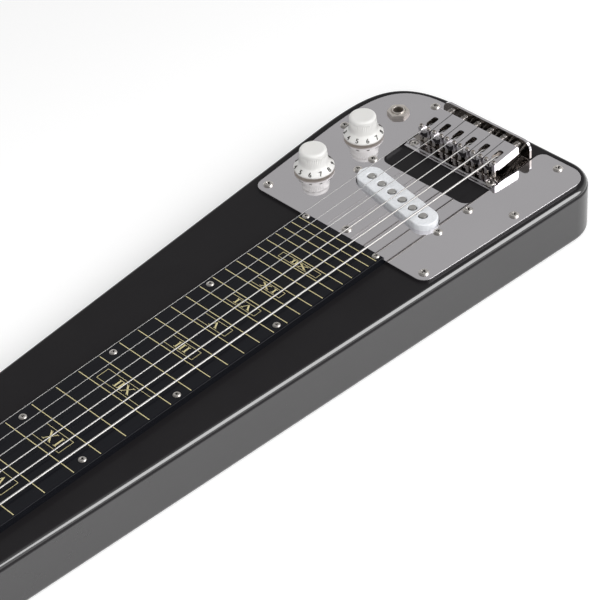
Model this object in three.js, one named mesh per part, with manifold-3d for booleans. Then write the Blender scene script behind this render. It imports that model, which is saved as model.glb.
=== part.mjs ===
// Lap steel guitar, in millimetres, +Z up.
// The origin lies on the flat underside, below the line where the scale ends at the bridge and
// midway between the outer strings. +X points to the tail and +Y to the treble side.

import * as THREE from 'three';
import { mergeVertices } from 'three/addons/utils/BufferGeometryUtils.js';
import Module from 'manifold-3d';

// Gaps that all pieces share
const restGap = 0.3;
const runningGap = 0.3;
const cutOverrun = 2;
const weldDistance = 0.001;

// Scale and strings, treble string first
const scaleLength = 571.5;
const stringPitchAtNut = 9.45;
const stringPitchAtBridge = 11.4;
const stringDiameters = [0.38, 0.46, 0.64, 0.84, 1.07, 1.38];
const stringSides = 5;

// Body
const bodyThickness = 40;
const bodyEdgeRound = 4;
const bodyTail = 49.6;
const bodyFarAtBridge = 100.2;
const bodyFarAtNut = 56.2;
const bodyNearAtBridge = 81.5;
const bodyNearAtNut = 40.4;
const bodyNearCornerRadius = 24;
const bodyFarCurveAhead = 38.7;
const bodyFarCurveSide = 39;
const farCurveTailShare = 0.91;
const farCurveSideShare = 0.65;
const bodyHeadOverhang = 15;
const bodyShoulderRadius = 12;
const bodyHeadNearRadius = 5;

// Headstock
const headLength = 116;
const headHalfWidthAtBody = 34;
const headHalfWidthAtEnd = 30.5;
const headCornerRadius = 9;
const headUnderside = 14;
const headThickness = 20;
const headEdgeRound = 2.5;

// Fretboard and nut
const fretboardThickness = 5;
const fretboardHalfAtBridge = 36.65;
const fretboardHalfAtNut = 29.3;
const fretboardTailEnd = 107.5;
const nutLength = 5;
const nutCrown = 1.6;
const nutStringFloor = 51.8;

// Control plate
const plateThickness = 2;
const plateFront = 107;
const plateFarInset = 9.3;
const plateNearInset = 5.4;
const plateTailInset = 8.3;
const plateFrontCornerRadius = 7.5;
const plateNearTailRadius = 13;
const plateLobeRadius = 6;
const plateFarCurveSide = 44.5;
const cutoutFront = 33.1;
const cutoutCornerRadius = 7;
const cutoutMargin = 0.6;
const plateScrewInset = 7.1;
const plateCentreScrewSide = 4.5;
const plateMidScrewAhead = 20.8;
const plateLobeScrewFar = 49.6;
const plateLobeScrewNear = 58;
const cutoutScrewSetback = 2.9;
const cutoutScrewBeside = 3.4;
const screwHeadRadius = 3.1;
const screwHeadHeight = 1.7;
const screwShankRadius = 1.4;
const screwLength = 14;
const screwHoleRadius = 1.9;

// Bridge
const bridgeThickness = 1.8;
const bridgeFront = 10.2;
const bridgeRear = 31.5;
const bridgeBesideStrings = 9.3;
const bridgeHalfWidth = ((stringDiameters.length - 1) / 2) * stringPitchAtBridge + bridgeBesideStrings;
const bridgeCornerRadius = 4;
const bridgeWallHeight = 15.5;
const bridgeScrewSetback = 4.1;
const bridgeScrewInset = 3.7;
const bridgeScrewSide = bridgeHalfWidth - bridgeScrewInset;
const bridgeScrewHoleRadius = 1.9;
const stringHoleRadius = 1.15;
const stringHoleHeight = 4;
const ballEndRadius = 2;

// Saddles
const saddleSpacing = 0.5;
const saddleWidth = stringPitchAtBridge - saddleSpacing;
const saddleFront = 5;
const saddleRear = 23.5;
const saddleCrest = 52.5;
const saddleCrestFront = 2.5;
const saddleCrestRear = 1.5;
const saddleNose = 51.8;
const saddleRearTop = 53.5;
const saddleFrontBottom = 46.9;
const saddleRearBottom = 48.9;
const saddleBlockRear = 3.5;
const saddleTopThickness = 1.8;
const saddleSideThickness = 1.5;
const saddleRearThickness = 1.8;
const saddleSlotWidth = 3.4;
const saddleSlotRear = 17;
const saddleTravel = 2.5;
const heightScrewSetback = 2.6;
const heightScrewSpread = 6.6;
const heightScrewRadius = 1.35;
const heightScrewTop = 55;
const heightScrewSocketRadius = 0.75;
const heightScrewSocketDepth = 1.6;

// Intonation screws and springs
const intonationHeight = 51.2;
const intonationRadius = 1.25;
const intonationTip = 17.5;
const intonationHeadRadius = 2.3;
const intonationHeadLength = 1.9;
const springRadius = 1.95;
const springWire = 0.5;
const springCurls = 5;
const springSides = 5;
const springStepsPerCurl = 8;

// Pickup
const pickupAhead = 57.5;
const pickupSlantDegrees = 9.7;
const coverLength = 75;
const coverWidth = 18.4;
const coverTop = 46.2;
const coverBottom = 32;
const coverWall = 1.3;
const coverEdgeRound = 1;
const coverPlateGap = 0.6;
const polePitch = 10.85;
const poleRadius = 2.55;
const poleProud = 0.25;
const poleBottom = 27.5;
const pickupScrewBeyondCover = 5;
const pickupScrewSpacing = coverLength + 2 * pickupScrewBeyondCover;
const pickupBaseEnd = 4;
const pickupBaseLength = pickupScrewSpacing + 2 * pickupBaseEnd;
const pickupBaseWidth = 15;
const pickupBaseThickness = 2.4;
const coilEndClearance = 4.7;
const coilSideClearance = 2.15;
const coilLength = coverLength - 2 * coverWall - 2 * coilEndClearance;
const coilWidth = coverWidth - 2 * coverWall - 2 * coilSideClearance;
const coilHeight = 11;
const pickupScrewRadius = 1.25;
const pickupScrewHeadRadius = 2.9;
const pickupScrewHeadHeight = 1.6;
const pickupScrewLength = 18;
const pickupPocketMargin = 2;
const pickupPocketLength = pickupBaseLength + 2 * pickupPocketMargin;
const pickupPocketWidth = coverWidth + 2 * pickupPocketMargin;
const pickupPocketDepth = 22;

// Control pocket, knobs and potentiometers
const controlRow = 65;
const volumeAhead = 68;
const toneAhead = 20.6;
const pocketFront = 90;
const pocketTail = 26;
const pocketNear = 47;
const pocketFar = 79.5;
const pocketDepth = 32;
const pocketCornerRadius = 8;
const knobFloat = 1.7;
const knobSkirtRadius = 13.6;
const knobSkirtEdge = 0.9;
const knobSkirtRise = 5.5;
const knobBarrelRadius = 9.8;
const knobTopRadius = 9.1;
const knobHeight = 15;
const knobTopRound = 1.8;
const knobRecessRadius = 12;
const knobRecessHeight = 1.9;
const shaftRadius = 3;
const shaftDepth = 8.5;
const potCaseRadius = 12;
const potCaseHeight = 8.5;
const bushingRadius = 4.7;
const bushingRise = 2.6;
const potNutAcrossFlats = 12.6;
const potNutHeight = 2;
const potLugWidth = 2.4;
const potLugLength = 6;
const potLugThickness = 1;
const potLugPitch = 5;
const controlHoleRadius = 5.1;
const roundSides = 20;

// Output jack
const jackSide = 64;
const jackBehind = 12.5;
const jackBoreRadius = 3.4;
const jackRise = 3.3;
const jackFlangeRadius = 7.2;
const jackFlangeThickness = 1.5;
const jackSleeveDepth = 7;
const jackFrameOffset = 6.2;
const jackFrameWidth = 8;
const jackFrameThickness = 1.2;
const jackFrameDepth = 25;
const jackStackHeight = 7;
const jackStackWidth = 5;
const jackNutAcrossFlats = 13.4;
const jackNutHeight = 2.5;

// Tuners, three on a plate along each side of the headstock
const firstPostBehindNut = 42;
const postPitch = 35;
const postSide = 21.5;
const postRadius = 3;
const postHoleRadius = 3.6;
const postTop = 47.5;
const gearRadius = 6;
const gearThickness = 3;
const wormRadius = 2;
const wormLength = 6.4;
const wormShaftRadius = 1.6;
const wormAxisHeight = 8.6;
const tunerPlateWidth = 15;
const tunerPlateThickness = 1.2;
const tunerPlateOverhang = 9;
const tunerPlateNose = 5.5;
const tunerPlateCornerRadius = 4;
const lugThickness = 1.5;
const lugLength = 7.5;
const lugDrop = 2.4;
const buttonReach = 12.5;
const buttonLength = 19;
const buttonHalfWidth = 7.5;
const buttonHalfThickness = 5;
const buttonNeckRadius = 2.8;
const wrapTurns = 2.5;
const wrapTop = 44.5;
const wrapStepsPerTurn = 10;
const wrapSpace = 0.5;

// Steps of curves: they set how fine the facets are, not any size
const arcSteps = 3;
const farCurveSteps = 14;
const edgeSteps = 2;
const smallSides = 8;
const hexagonSides = 6;

const wasm = await Module();
wasm.setup();

// Heights that follow from the sizes above
const plateTop = bodyThickness + plateThickness;
const bridgeTop = bodyThickness + bridgeThickness;
const headTop = headUnderside + headThickness;
const bodyHeadEnd = -scaleLength - nutLength - bodyHeadOverhang;

// The sides of the wedge-shaped body, at a place along the strings
const farSideAt = (x) => bodyFarAtBridge + (x / scaleLength) * (bodyFarAtBridge - bodyFarAtNut);
const nearSideAt = (x) => -bodyNearAtBridge - (x / scaleLength) * (bodyNearAtBridge - bodyNearAtNut);
const fretboardHalfAt = (x) =>
  fretboardHalfAtBridge + (x / scaleLength) * (fretboardHalfAtBridge - fretboardHalfAtNut);

function geometryOf(manifold) {
  const mesh = manifold.getMesh();
  const geometry = new THREE.BufferGeometry();
  geometry.setAttribute('position', new THREE.BufferAttribute(mesh.vertProperties, 3));
  geometry.setIndex(new THREE.BufferAttribute(mesh.triVerts, 1));
  geometry.computeVertexNormals();
  return geometry;
}

function solidOf(geometry) {
  const bare = new THREE.BufferGeometry();
  bare.setAttribute('position', geometry.getAttribute('position'));
  if (geometry.index) bare.setIndex(geometry.index);
  const merged = mergeVertices(bare, weldDistance);
  return new wasm.Manifold(
    new wasm.Mesh({
      numProp: 3,
      vertProperties: merged.attributes.position.array,
      triVerts: new Uint32Array(merged.index.array),
    }),
  );
}

function join(first, ...others) {
  return geometryOf(others.reduce((whole, piece) => whole.add(solidOf(piece)), solidOf(first)));
}

function cut(first, ...tools) {
  return geometryOf(tools.reduce((rest, tool) => rest.subtract(solidOf(tool)), solidOf(first)));
}

// A closed outline whose corners, given as [x, y, radius], are rounded by true arcs.
function roundedOutline(corners) {
  const shape = new THREE.Shape();
  corners.forEach(([x, y, radius], index) => {
    const corner = new THREE.Vector2(x, y);
    const [beforeX, beforeY] = corners[(index + corners.length - 1) % corners.length];
    const [afterX, afterY] = corners[(index + 1) % corners.length];
    const back = new THREE.Vector2(beforeX, beforeY).sub(corner).normalize();
    const on = new THREE.Vector2(afterX, afterY).sub(corner).normalize();
    const half = Math.acos(THREE.MathUtils.clamp(back.dot(on), -1, 1)) / 2;
    const start = corner.clone().addScaledVector(back, radius / Math.tan(half));
    if (index === 0) shape.moveTo(start.x, start.y);
    else shape.lineTo(start.x, start.y);
    if (radius === 0) return;
    const end = corner.clone().addScaledVector(on, radius / Math.tan(half));
    const inward = back.clone().add(on).normalize();
    const centre = corner.clone().addScaledVector(inward, radius / Math.sin(half));
    const startAngle = Math.atan2(start.y - centre.y, start.x - centre.x);
    const endAngle = Math.atan2(end.y - centre.y, end.x - centre.x);
    shape.absarc(centre.x, centre.y, radius, startAngle, endAngle, back.cross(on) > 0);
  });
  shape.closePath();
  return shape;
}

// A flat solid that stands on the height called bottom.
function slab(shape, bottom, thickness) {
  const geometry = new THREE.ExtrudeGeometry(shape, {
    depth: thickness,
    bevelEnabled: false,
    curveSegments: arcSteps,
  });
  return geometry.translate(0, 0, bottom);
}

// The same with its top and bottom edges rounded inward.
function roundedSlab(shape, bottom, thickness, round) {
  const geometry = new THREE.ExtrudeGeometry(shape, {
    depth: thickness - 2 * round,
    bevelThickness: round,
    bevelSize: round,
    bevelOffset: -round,
    bevelSegments: edgeSteps,
    curveSegments: arcSteps,
  });
  return geometry.translate(0, 0, bottom + round);
}

// A shape drawn in the X-Z plane and given a width along Y, centred on the given side.
function sideProfile(points, width, side) {
  const shape = new THREE.Shape(points.map(([x, z]) => new THREE.Vector2(x, z)));
  const geometry = new THREE.ExtrudeGeometry(shape, { depth: width, bevelEnabled: false });
  return geometry.rotateX(Math.PI / 2).translate(0, side + width / 2, 0);
}

function rod(radius, bottom, top, x, y, sides = smallSides) {
  const geometry = new THREE.CylinderGeometry(radius, radius, top - bottom, sides);
  return geometry.rotateX(Math.PI / 2).translate(x, y, (bottom + top) / 2);
}

function rodAlongX(radius, from, to, y, z, sides = smallSides) {
  const geometry = new THREE.CylinderGeometry(radius, radius, to - from, sides);
  return geometry.rotateZ(Math.PI / 2).translate((from + to) / 2, y, z);
}

function rodAlongY(radius, from, to, x, z, sides = smallSides) {
  const geometry = new THREE.CylinderGeometry(radius, radius, to - from, sides);
  return geometry.translate(x, (from + to) / 2, z);
}

function block(fromX, toX, fromY, toY, fromZ, toZ) {
  const geometry = new THREE.BoxGeometry(toX - fromX, toY - fromY, toZ - fromZ);
  return geometry.translate((fromX + toX) / 2, (fromY + toY) / 2, (fromZ + toZ) / 2);
}

// A turned piece about the Z axis; the profile of [radius, height] runs from bottom to top.
function turned(profile, sides) {
  const points = profile.map(([radius, height]) => new THREE.Vector2(radius, height));
  return new THREE.LatheGeometry(points, sides).rotateX(Math.PI / 2);
}

// A hexagonal prism with a corner on the X axis.
function hexagon(acrossFlats, bottom, height) {
  const geometry = new THREE.CylinderGeometry(
    acrossFlats / Math.sqrt(3), acrossFlats / Math.sqrt(3), height, hexagonSides,
  );
  return geometry.rotateX(Math.PI / 2).translate(0, 0, bottom + height / 2);
}

// An outline with straight sides and round ends, its long axis along Y.
function stadium(length, width) {
  const end = length / 2;
  const side = width / 2;
  return roundedOutline([[-side, -end, side], [side, -end, side], [side, end, side], [-side, end, side]]);
}

// A path through chosen stations: a sweep along it puts one ring at each station.
class Route extends THREE.Curve {
  constructor(stations) {
    super();
    this.stations = stations;
  }

  getPoint(share, target = new THREE.Vector3()) {
    const place = share * (this.stations.length - 1);
    const index = Math.min(Math.floor(place), this.stations.length - 2);
    return target.lerpVectors(this.stations[index], this.stations[index + 1], place - index);
  }

  getUtoTmapping(share) {
    return share;
  }
}

function wire(stations, diameter, sides) {
  const section = new THREE.Shape();
  for (let side = 0; side < sides; side += 1) {
    const angle = (side / sides) * 2 * Math.PI;
    const x = (diameter / 2) * Math.cos(angle);
    const y = (diameter / 2) * Math.sin(angle);
    if (side === 0) section.moveTo(x, y);
    else section.lineTo(x, y);
  }
  return new THREE.ExtrudeGeometry(section, {
    steps: stations.length - 1,
    extrudePath: new Route(stations),
  });
}

// The least gap that a wound wire keeps to its own neighbouring turn.
function leastSelfGap(stations, diameter, stepsPerTurn) {
  let least = Infinity;
  stations.forEach((one, index) => {
    stations.slice(index + stepsPerTurn - 2).forEach((other) => {
      least = Math.min(least, one.distanceTo(other) - diameter);
    });
  });
  return least;
}

const lacquer = new THREE.MeshStandardMaterial({ color: 0x17161a, roughness: 0.22, metalness: 0 });
const boardBlack = new THREE.MeshStandardMaterial({ color: 0x1c1c20, roughness: 0.45, metalness: 0 });
const chrome = new THREE.MeshStandardMaterial({ color: 0xd2d0d4, roughness: 0.08, metalness: 1 });
const steel = new THREE.MeshStandardMaterial({ color: 0xb9b6b4, roughness: 0.25, metalness: 1 });
const whitePlastic = new THREE.MeshStandardMaterial({ color: 0xf1efec, roughness: 0.3, metalness: 0 });
const bone = new THREE.MeshStandardMaterial({ color: 0xe9e2d0, roughness: 0.4, metalness: 0 });
const fibre = new THREE.MeshStandardMaterial({ color: 0x2b2724, roughness: 0.8, metalness: 0 });
const zinc = new THREE.MeshStandardMaterial({ color: 0xa7a49c, roughness: 0.4, metalness: 1 });
const stringSteel = new THREE.MeshStandardMaterial({ color: 0xc9c6c2, roughness: 0.3, metalness: 1 });

const lapSteel = new THREE.Group();

function add(name, geometry, material, parent = lapSteel) {
  const mesh = new THREE.Mesh(geometry, material);
  mesh.name = name;
  parent.add(mesh);
  return mesh;
}

// The rounded far corner at the tail, as points from the tail edge round to the far side.
function farCurve(tail, far, curveSide) {
  const corner = new THREE.Vector2(tail, far(tail));
  const start = new THREE.Vector2(tail, curveSide);
  const end = new THREE.Vector2(-bodyFarCurveAhead, far(-bodyFarCurveAhead));
  const curve = new THREE.CubicBezierCurve(
    start,
    start.clone().lerp(corner, farCurveTailShare),
    end.clone().lerp(corner, farCurveSideShare),
    end,
  );
  return curve.getPoints(farCurveSteps).map((point) => [point.x, point.y, 0]);
}

// Places of the screws that hold the control plate
const plateTail = bodyTail - plateTailInset;
const plateFarAt = (x) => farSideAt(x) - plateFarInset;
const plateNearAt = (x) => nearSideAt(x) + plateNearInset;
const cutoutSide = bridgeHalfWidth + cutoutMargin;
const frontScrewX = -plateFront + plateScrewInset;
const lobeScrewX = plateTail - plateScrewInset;
const plateScrews = [
  ['plate_screw_front_far', frontScrewX, plateFarAt(frontScrewX) - plateScrewInset],
  ['plate_screw_front_middle', frontScrewX, plateCentreScrewSide],
  ['plate_screw_front_near', frontScrewX, plateNearAt(frontScrewX) + plateScrewInset],
  ['plate_screw_side_near', -plateMidScrewAhead, plateNearAt(-plateMidScrewAhead) + plateScrewInset],
  ['plate_screw_side_far', -plateMidScrewAhead, plateFarAt(-plateMidScrewAhead) - plateScrewInset],
  ['plate_screw_tail_near', lobeScrewX, -plateLobeScrewNear],
  ['plate_screw_tail_far', lobeScrewX, plateLobeScrewFar],
];
// Two more stand beside the bridge cutout. Only their holes are made here.
const cutoutScrews = [1, -1].map((side) => [
  -cutoutFront - cutoutScrewSetback,
  side * (cutoutSide + cutoutScrewBeside),
]);
const plateScrewPlaces = [...plateScrews.map(([, x, y]) => [x, y]), ...cutoutScrews];

// The pickup stands in a frame of its own, turned to the slant
const pickupTurn = THREE.MathUtils.degToRad(-pickupSlantDegrees);

function inPickupFrame(geometry) {
  return geometry.rotateZ(pickupTurn).translate(-pickupAhead, 0, 0);
}

const pickupScrewPlaces = [1, -1].map((side) => {
  const reach = (side * pickupScrewSpacing) / 2;
  return [-pickupAhead - reach * Math.sin(pickupTurn), reach * Math.cos(pickupTurn)];
});

const knobPlaces = [-volumeAhead, -toneAhead];

function makeBody() {
  const outline = roundedOutline([
    [bodyHeadEnd, farSideAt(bodyHeadEnd), bodyShoulderRadius],
    [bodyHeadEnd, nearSideAt(bodyHeadEnd), bodyHeadNearRadius],
    [bodyTail, nearSideAt(bodyTail), bodyNearCornerRadius],
    ...farCurve(bodyTail, farSideAt, bodyFarCurveSide),
  ]);
  const headTip = bodyHeadEnd - headLength;
  const headRoot = -scaleLength;
  const head = roundedOutline([
    [headRoot, headHalfWidthAtBody, 0],
    [headTip, headHalfWidthAtEnd, headCornerRadius],
    [headTip, -headHalfWidthAtEnd, headCornerRadius],
    [headRoot, -headHalfWidthAtBody, 0],
  ]);
  const whole = join(
    roundedSlab(outline, 0, bodyThickness, bodyEdgeRound),
    roundedSlab(head, headUnderside, headThickness, headEdgeRound),
  );
  const open = bodyThickness + cutOverrun;
  const controlPocket = roundedOutline([
    [-pocketFront, pocketNear, pocketCornerRadius],
    [pocketTail, pocketNear, pocketCornerRadius],
    [pocketTail, pocketFar, pocketCornerRadius],
    [-pocketFront, pocketFar, pocketCornerRadius],
  ]);
  const pickupFloor = bodyThickness - pickupPocketDepth;
  const controlFloor = bodyThickness - pocketDepth;
  return cut(
    whole,
    slab(controlPocket, controlFloor, open - controlFloor),
    inPickupFrame(
      slab(stadium(pickupPocketLength, pickupPocketWidth), pickupFloor, open - pickupFloor),
    ),
    ...plateScrewPlaces.map(([x, y]) => rod(screwHoleRadius, plateTop - screwLength - restGap, open, x, y)),
    ...postPlaces.map(([x, y]) =>
      rod(postHoleRadius, headUnderside - cutOverrun, headTop + cutOverrun, x, y),
    ),
  );
}

// Tuner posts: the outer strings go to the posts nearest the nut
const postPlaces = stringDiameters.map((diameter, index) => {
  const row = Math.min(index, stringDiameters.length - 1 - index);
  const side = index < stringDiameters.length / 2 ? 1 : -1;
  return [-scaleLength - firstPostBehindNut - row * postPitch, side * postSide];
});

add('body', makeBody(), lacquer);

// Fretboard and nut
const fretboardHead = -scaleLength;
add(
  'fretboard',
  slab(
    roundedOutline([
      [-fretboardTailEnd, -fretboardHalfAt(-fretboardTailEnd), 0],
      [-fretboardTailEnd, fretboardHalfAt(-fretboardTailEnd), 0],
      [fretboardHead, fretboardHalfAt(fretboardHead), 0],
      [fretboardHead, -fretboardHalfAt(fretboardHead), 0],
    ]),
    bodyThickness,
    fretboardThickness,
  ),
  boardBlack,
);

const stringSide = (index, pitch) => ((stringDiameters.length - 1) / 2 - index) * pitch;

function makeNut() {
  const from = -scaleLength - nutLength;
  const top = nutStringFloor + nutCrown;
  const side = fretboardHalfAtNut;
  const blank = sideProfile(
    [
      [from, bodyThickness],
      [-scaleLength, bodyThickness],
      [-scaleLength, top - nutCrown / 2],
      [-scaleLength - nutCrown, top],
      [from, top - nutCrown],
    ],
    2 * side,
    0,
  );
  const slots = stringDiameters.map((diameter, index) => {
    const y = stringSide(index, stringPitchAtNut);
    const half = diameter / 2 + runningGap;
    return block(
      from - cutOverrun, cutOverrun - scaleLength, y - half, y + half, nutStringFloor, top + cutOverrun,
    );
  });
  return cut(blank, ...slots);
}

add('nut', makeNut(), bone);

// Control plate
function makeControlPlate() {
  const front = -plateFront;
  const outline = roundedOutline([
    [front, plateFarAt(front), plateFrontCornerRadius],
    [front, plateNearAt(front), plateFrontCornerRadius],
    [plateTail, plateNearAt(plateTail), plateNearTailRadius],
    [plateTail, -cutoutSide, plateLobeRadius],
    [-cutoutFront, -cutoutSide, cutoutCornerRadius],
    [-cutoutFront, cutoutSide, cutoutCornerRadius],
    [plateTail, cutoutSide, plateLobeRadius / 2],
    ...farCurve(plateTail, plateFarAt, plateFarCurveSide),
  ]);
  const low = bodyThickness - cutOverrun;
  const high = plateTop + cutOverrun;
  return cut(
    slab(outline, bodyThickness, plateThickness),
    inPickupFrame(
      slab(stadium(coverLength + 2 * coverPlateGap, coverWidth + 2 * coverPlateGap), low, high - low),
    ),
    ...plateScrewPlaces.map(([x, y]) => rod(screwHoleRadius, low, high, x, y)),
    ...pickupScrewPlaces.map(([x, y]) => rod(pickupScrewRadius + runningGap, low, high, x, y)),
    ...knobPlaces.map((x) => rod(controlHoleRadius, low, high, x, controlRow, roundSides)),
    rod(controlHoleRadius, low, high, jackBehind, jackSide, roundSides),
  );
}

add('control_plate', makeControlPlate(), chrome);

function makeScrew(headRadius, headHeight, shankRadius, length) {
  return turned(
    [
      [0, -length],
      [shankRadius, -length + shankRadius],
      [shankRadius, 0],
      [headRadius, 0],
      [headRadius * Math.SQRT1_2, headHeight],
      [0, headHeight],
    ],
    smallSides,
  );
}

const plateScrewGeometry = makeScrew(screwHeadRadius, screwHeadHeight, screwShankRadius, screwLength);
plateScrews.forEach(([name, x, y]) => {
  add(name, plateScrewGeometry, steel).position.set(x, y, plateTop);
});

// Bridge: a base plate with a wall along its rear
const stringHoleZ = bodyThickness + stringHoleHeight;

function makeBridgePlate() {
  const base = roundedOutline([
    [-bridgeFront, -bridgeHalfWidth, bridgeCornerRadius],
    [bridgeRear, -bridgeHalfWidth, 0],
    [bridgeRear, bridgeHalfWidth, 0],
    [-bridgeFront, bridgeHalfWidth, bridgeCornerRadius],
  ]);
  const wallTop = bodyThickness + bridgeWallHeight;
  const wall = roundedOutline([
    [-bridgeHalfWidth, bodyThickness, 0],
    [bridgeHalfWidth, bodyThickness, 0],
    [bridgeHalfWidth, wallTop, bridgeCornerRadius],
    [-bridgeHalfWidth, wallTop, bridgeCornerRadius],
  ]);
  const wallSolid = slab(wall, 0, bridgeThickness)
    .rotateX(Math.PI / 2)
    .rotateZ(Math.PI / 2)
    .translate(bridgeRear - bridgeThickness, 0, 0);
  const from = bridgeRear - bridgeThickness - cutOverrun;
  const to = bridgeRear + cutOverrun;
  const sides = stringDiameters.map((diameter, index) => stringSide(index, stringPitchAtBridge));
  return cut(
    join(slab(base, bodyThickness, bridgeThickness), wallSolid),
    ...sides.map((y) => rodAlongX(intonationRadius + runningGap, from, to, y, intonationHeight)),
    ...sides.map((y) => rodAlongX(stringHoleRadius, from, to, y, stringHoleZ)),
    ...[1, -1].map((side) =>
      rod(
        bridgeScrewHoleRadius,
        bodyThickness - cutOverrun,
        bridgeTop + cutOverrun,
        bridgeScrewSetback - bridgeFront,
        side * bridgeScrewSide,
      ),
    ),
  );
}

add('bridge_plate', makeBridgePlate(), chrome);

// Saddles: a channel open below, with a block in front that carries the string
function makeSaddle() {
  const span = saddleRear - saddleCrestRear;
  const topAt = (x) => saddleCrest + ((x - saddleCrestRear) / span) * (saddleRearTop - saddleCrest);
  const outer = sideProfile(
    [
      [-saddleFront, saddleFrontBottom],
      [saddleRear, saddleRearBottom],
      [saddleRear, saddleRearTop],
      [saddleCrestRear, saddleCrest],
      [-saddleCrestFront, saddleCrest],
      [-saddleFront, saddleNose],
    ],
    saddleWidth,
    0,
  );
  const innerRear = saddleRear - saddleRearThickness;
  const channel = sideProfile(
    [
      [saddleBlockRear, saddleFrontBottom - cutOverrun],
      [innerRear, saddleFrontBottom - cutOverrun],
      [innerRear, topAt(innerRear) - saddleTopThickness],
      [saddleBlockRear, topAt(saddleBlockRear) - saddleTopThickness],
    ],
    saddleWidth - 2 * saddleSideThickness,
    0,
  );
  const slotMiddle = (saddleBlockRear + saddleSlotRear) / 2;
  const slot = slab(
    stadium(saddleSlotRear - saddleBlockRear, saddleSlotWidth),
    saddleRearBottom,
    saddleRearTop - saddleRearBottom + cutOverrun,
  )
    .rotateZ(Math.PI / 2)
    .translate(slotMiddle, 0, 0);
  const hollow = cut(
    outer,
    channel,
    slot,
    rodAlongX(
      intonationRadius + runningGap,
      intonationTip - saddleTravel - restGap,
      saddleRear + cutOverrun,
      0,
      intonationHeight,
    ),
  );
  const screwSides = [1, -1].map((side) => (side * heightScrewSpread) / 2);
  const withScrews = join(
    hollow,
    ...screwSides.map((y) =>
      rod(heightScrewRadius, bridgeTop + restGap, heightScrewTop, -heightScrewSetback, y),
    ),
  );
  return cut(
    withScrews,
    ...screwSides.map((y) =>
      rod(
        heightScrewSocketRadius,
        heightScrewTop - heightScrewSocketDepth,
        heightScrewTop + cutOverrun,
        -heightScrewSetback,
        y,
        hexagonSides,
      ),
    ),
  );
}

const saddleGeometry = makeSaddle();

const intonationGeometry = turned(
  [
    [0, -(bridgeRear + restGap - intonationTip)],
    [intonationRadius, intonationRadius - (bridgeRear + restGap - intonationTip)],
    [intonationRadius, 0],
    [intonationHeadRadius, 0],
    [intonationHeadRadius, intonationHeadLength / 2],
    [intonationHeadRadius * Math.SQRT1_2, intonationHeadLength],
    [0, intonationHeadLength],
  ],
  smallSides,
).rotateY(Math.PI / 2);

// A spring's wire, from the saddle's rear face to the wall
const springFrom = saddleRear + restGap + springWire / 2;
const springTo = bridgeRear - bridgeThickness - restGap - springWire / 2;
const springSteps = springCurls * springStepsPerCurl;
const springStations = Array.from({ length: springSteps + 1 }, (unused, step) => {
  const angle = (step / springStepsPerCurl) * 2 * Math.PI;
  const x = springFrom + (step / springSteps) * (springTo - springFrom);
  return new THREE.Vector3(x, springRadius * Math.cos(angle), springRadius * Math.sin(angle));
});
const springGeometry = wire(springStations, springWire, springSides);
console.log('spring self gap', leastSelfGap(springStations, springWire, springStepsPerCurl).toFixed(2));

stringDiameters.forEach((diameter, index) => {
  const y = stringSide(index, stringPitchAtBridge);
  const number = index + 1;
  add(`saddle_${number}`, saddleGeometry, chrome).position.y = y;
  add(`intonation_screw_${number}`, intonationGeometry, steel).position.set(
    bridgeRear + restGap, y, intonationHeight,
  );
  add(`saddle_spring_${number}`, springGeometry, steel).position.set(0, y, intonationHeight);
});

// Strings: from the ball end behind the wall, up through the saddle's slot, over the crest,
// through the nut and down to two and a half turns round the post
function makeString(diameter, index) {
  const radius = diameter / 2;
  const bridgeY = stringSide(index, stringPitchAtBridge);
  const nutY = stringSide(index, stringPitchAtNut);
  const crestZ = saddleCrest + restGap + radius;
  const nutZ = nutStringFloor + restGap + radius;
  const [postX, postY] = postPlaces[index];
  const turnSign = Math.sign(postY);
  const wrapRadius = postRadius + runningGap + radius;
  const leave = new THREE.Vector2(-scaleLength - nutLength, nutY);
  const toNut = leave.clone().sub(new THREE.Vector2(postX, postY));
  const firstAngle =
    Math.atan2(toNut.y, toNut.x) - turnSign * Math.acos(wrapRadius / toNut.length());
  const pitch = diameter + wrapSpace;
  const stations = [
    new THREE.Vector3(bridgeRear + restGap + ballEndRadius, bridgeY, stringHoleZ),
    new THREE.Vector3(bridgeRear - bridgeThickness - restGap, bridgeY, stringHoleZ),
    new THREE.Vector3(saddleBlockRear + saddleTravel + restGap, bridgeY, crestZ),
    new THREE.Vector3(-saddleCrestFront, bridgeY, crestZ),
    new THREE.Vector3(-scaleLength, nutY, nutZ),
    new THREE.Vector3(-scaleLength - nutLength, nutY, nutZ),
  ];
  const wraps = [];
  for (let step = 0; step <= wrapTurns * wrapStepsPerTurn; step += 1) {
    const angle = firstAngle - turnSign * (step / wrapStepsPerTurn) * 2 * Math.PI;
    wraps.push(
      new THREE.Vector3(
        postX + wrapRadius * Math.cos(angle),
        postY + wrapRadius * Math.sin(angle),
        wrapTop - (step / wrapStepsPerTurn) * pitch,
      ),
    );
  }
  const gap = leastSelfGap(wraps, diameter, wrapStepsPerTurn);
  console.log('string', index + 1, 'winding self gap', gap.toFixed(2));
  const ball = new THREE.SphereGeometry(ballEndRadius, smallSides, smallSides / 2)
    .translate(bridgeRear + restGap + ballEndRadius, bridgeY, stringHoleZ);
  return join(wire([...stations, ...wraps], diameter, stringSides), ball);
}

stringDiameters.forEach((diameter, index) => {
  add(`string_${index + 1}`, makeString(diameter, index), stringSteel);
});

// Pickup
function poleHoles(radius, bottom, top) {
  return stringDiameters.map((diameter, index) =>
    rod(radius, bottom, top, 0, stringSide(index, polePitch)),
  );
}

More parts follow.
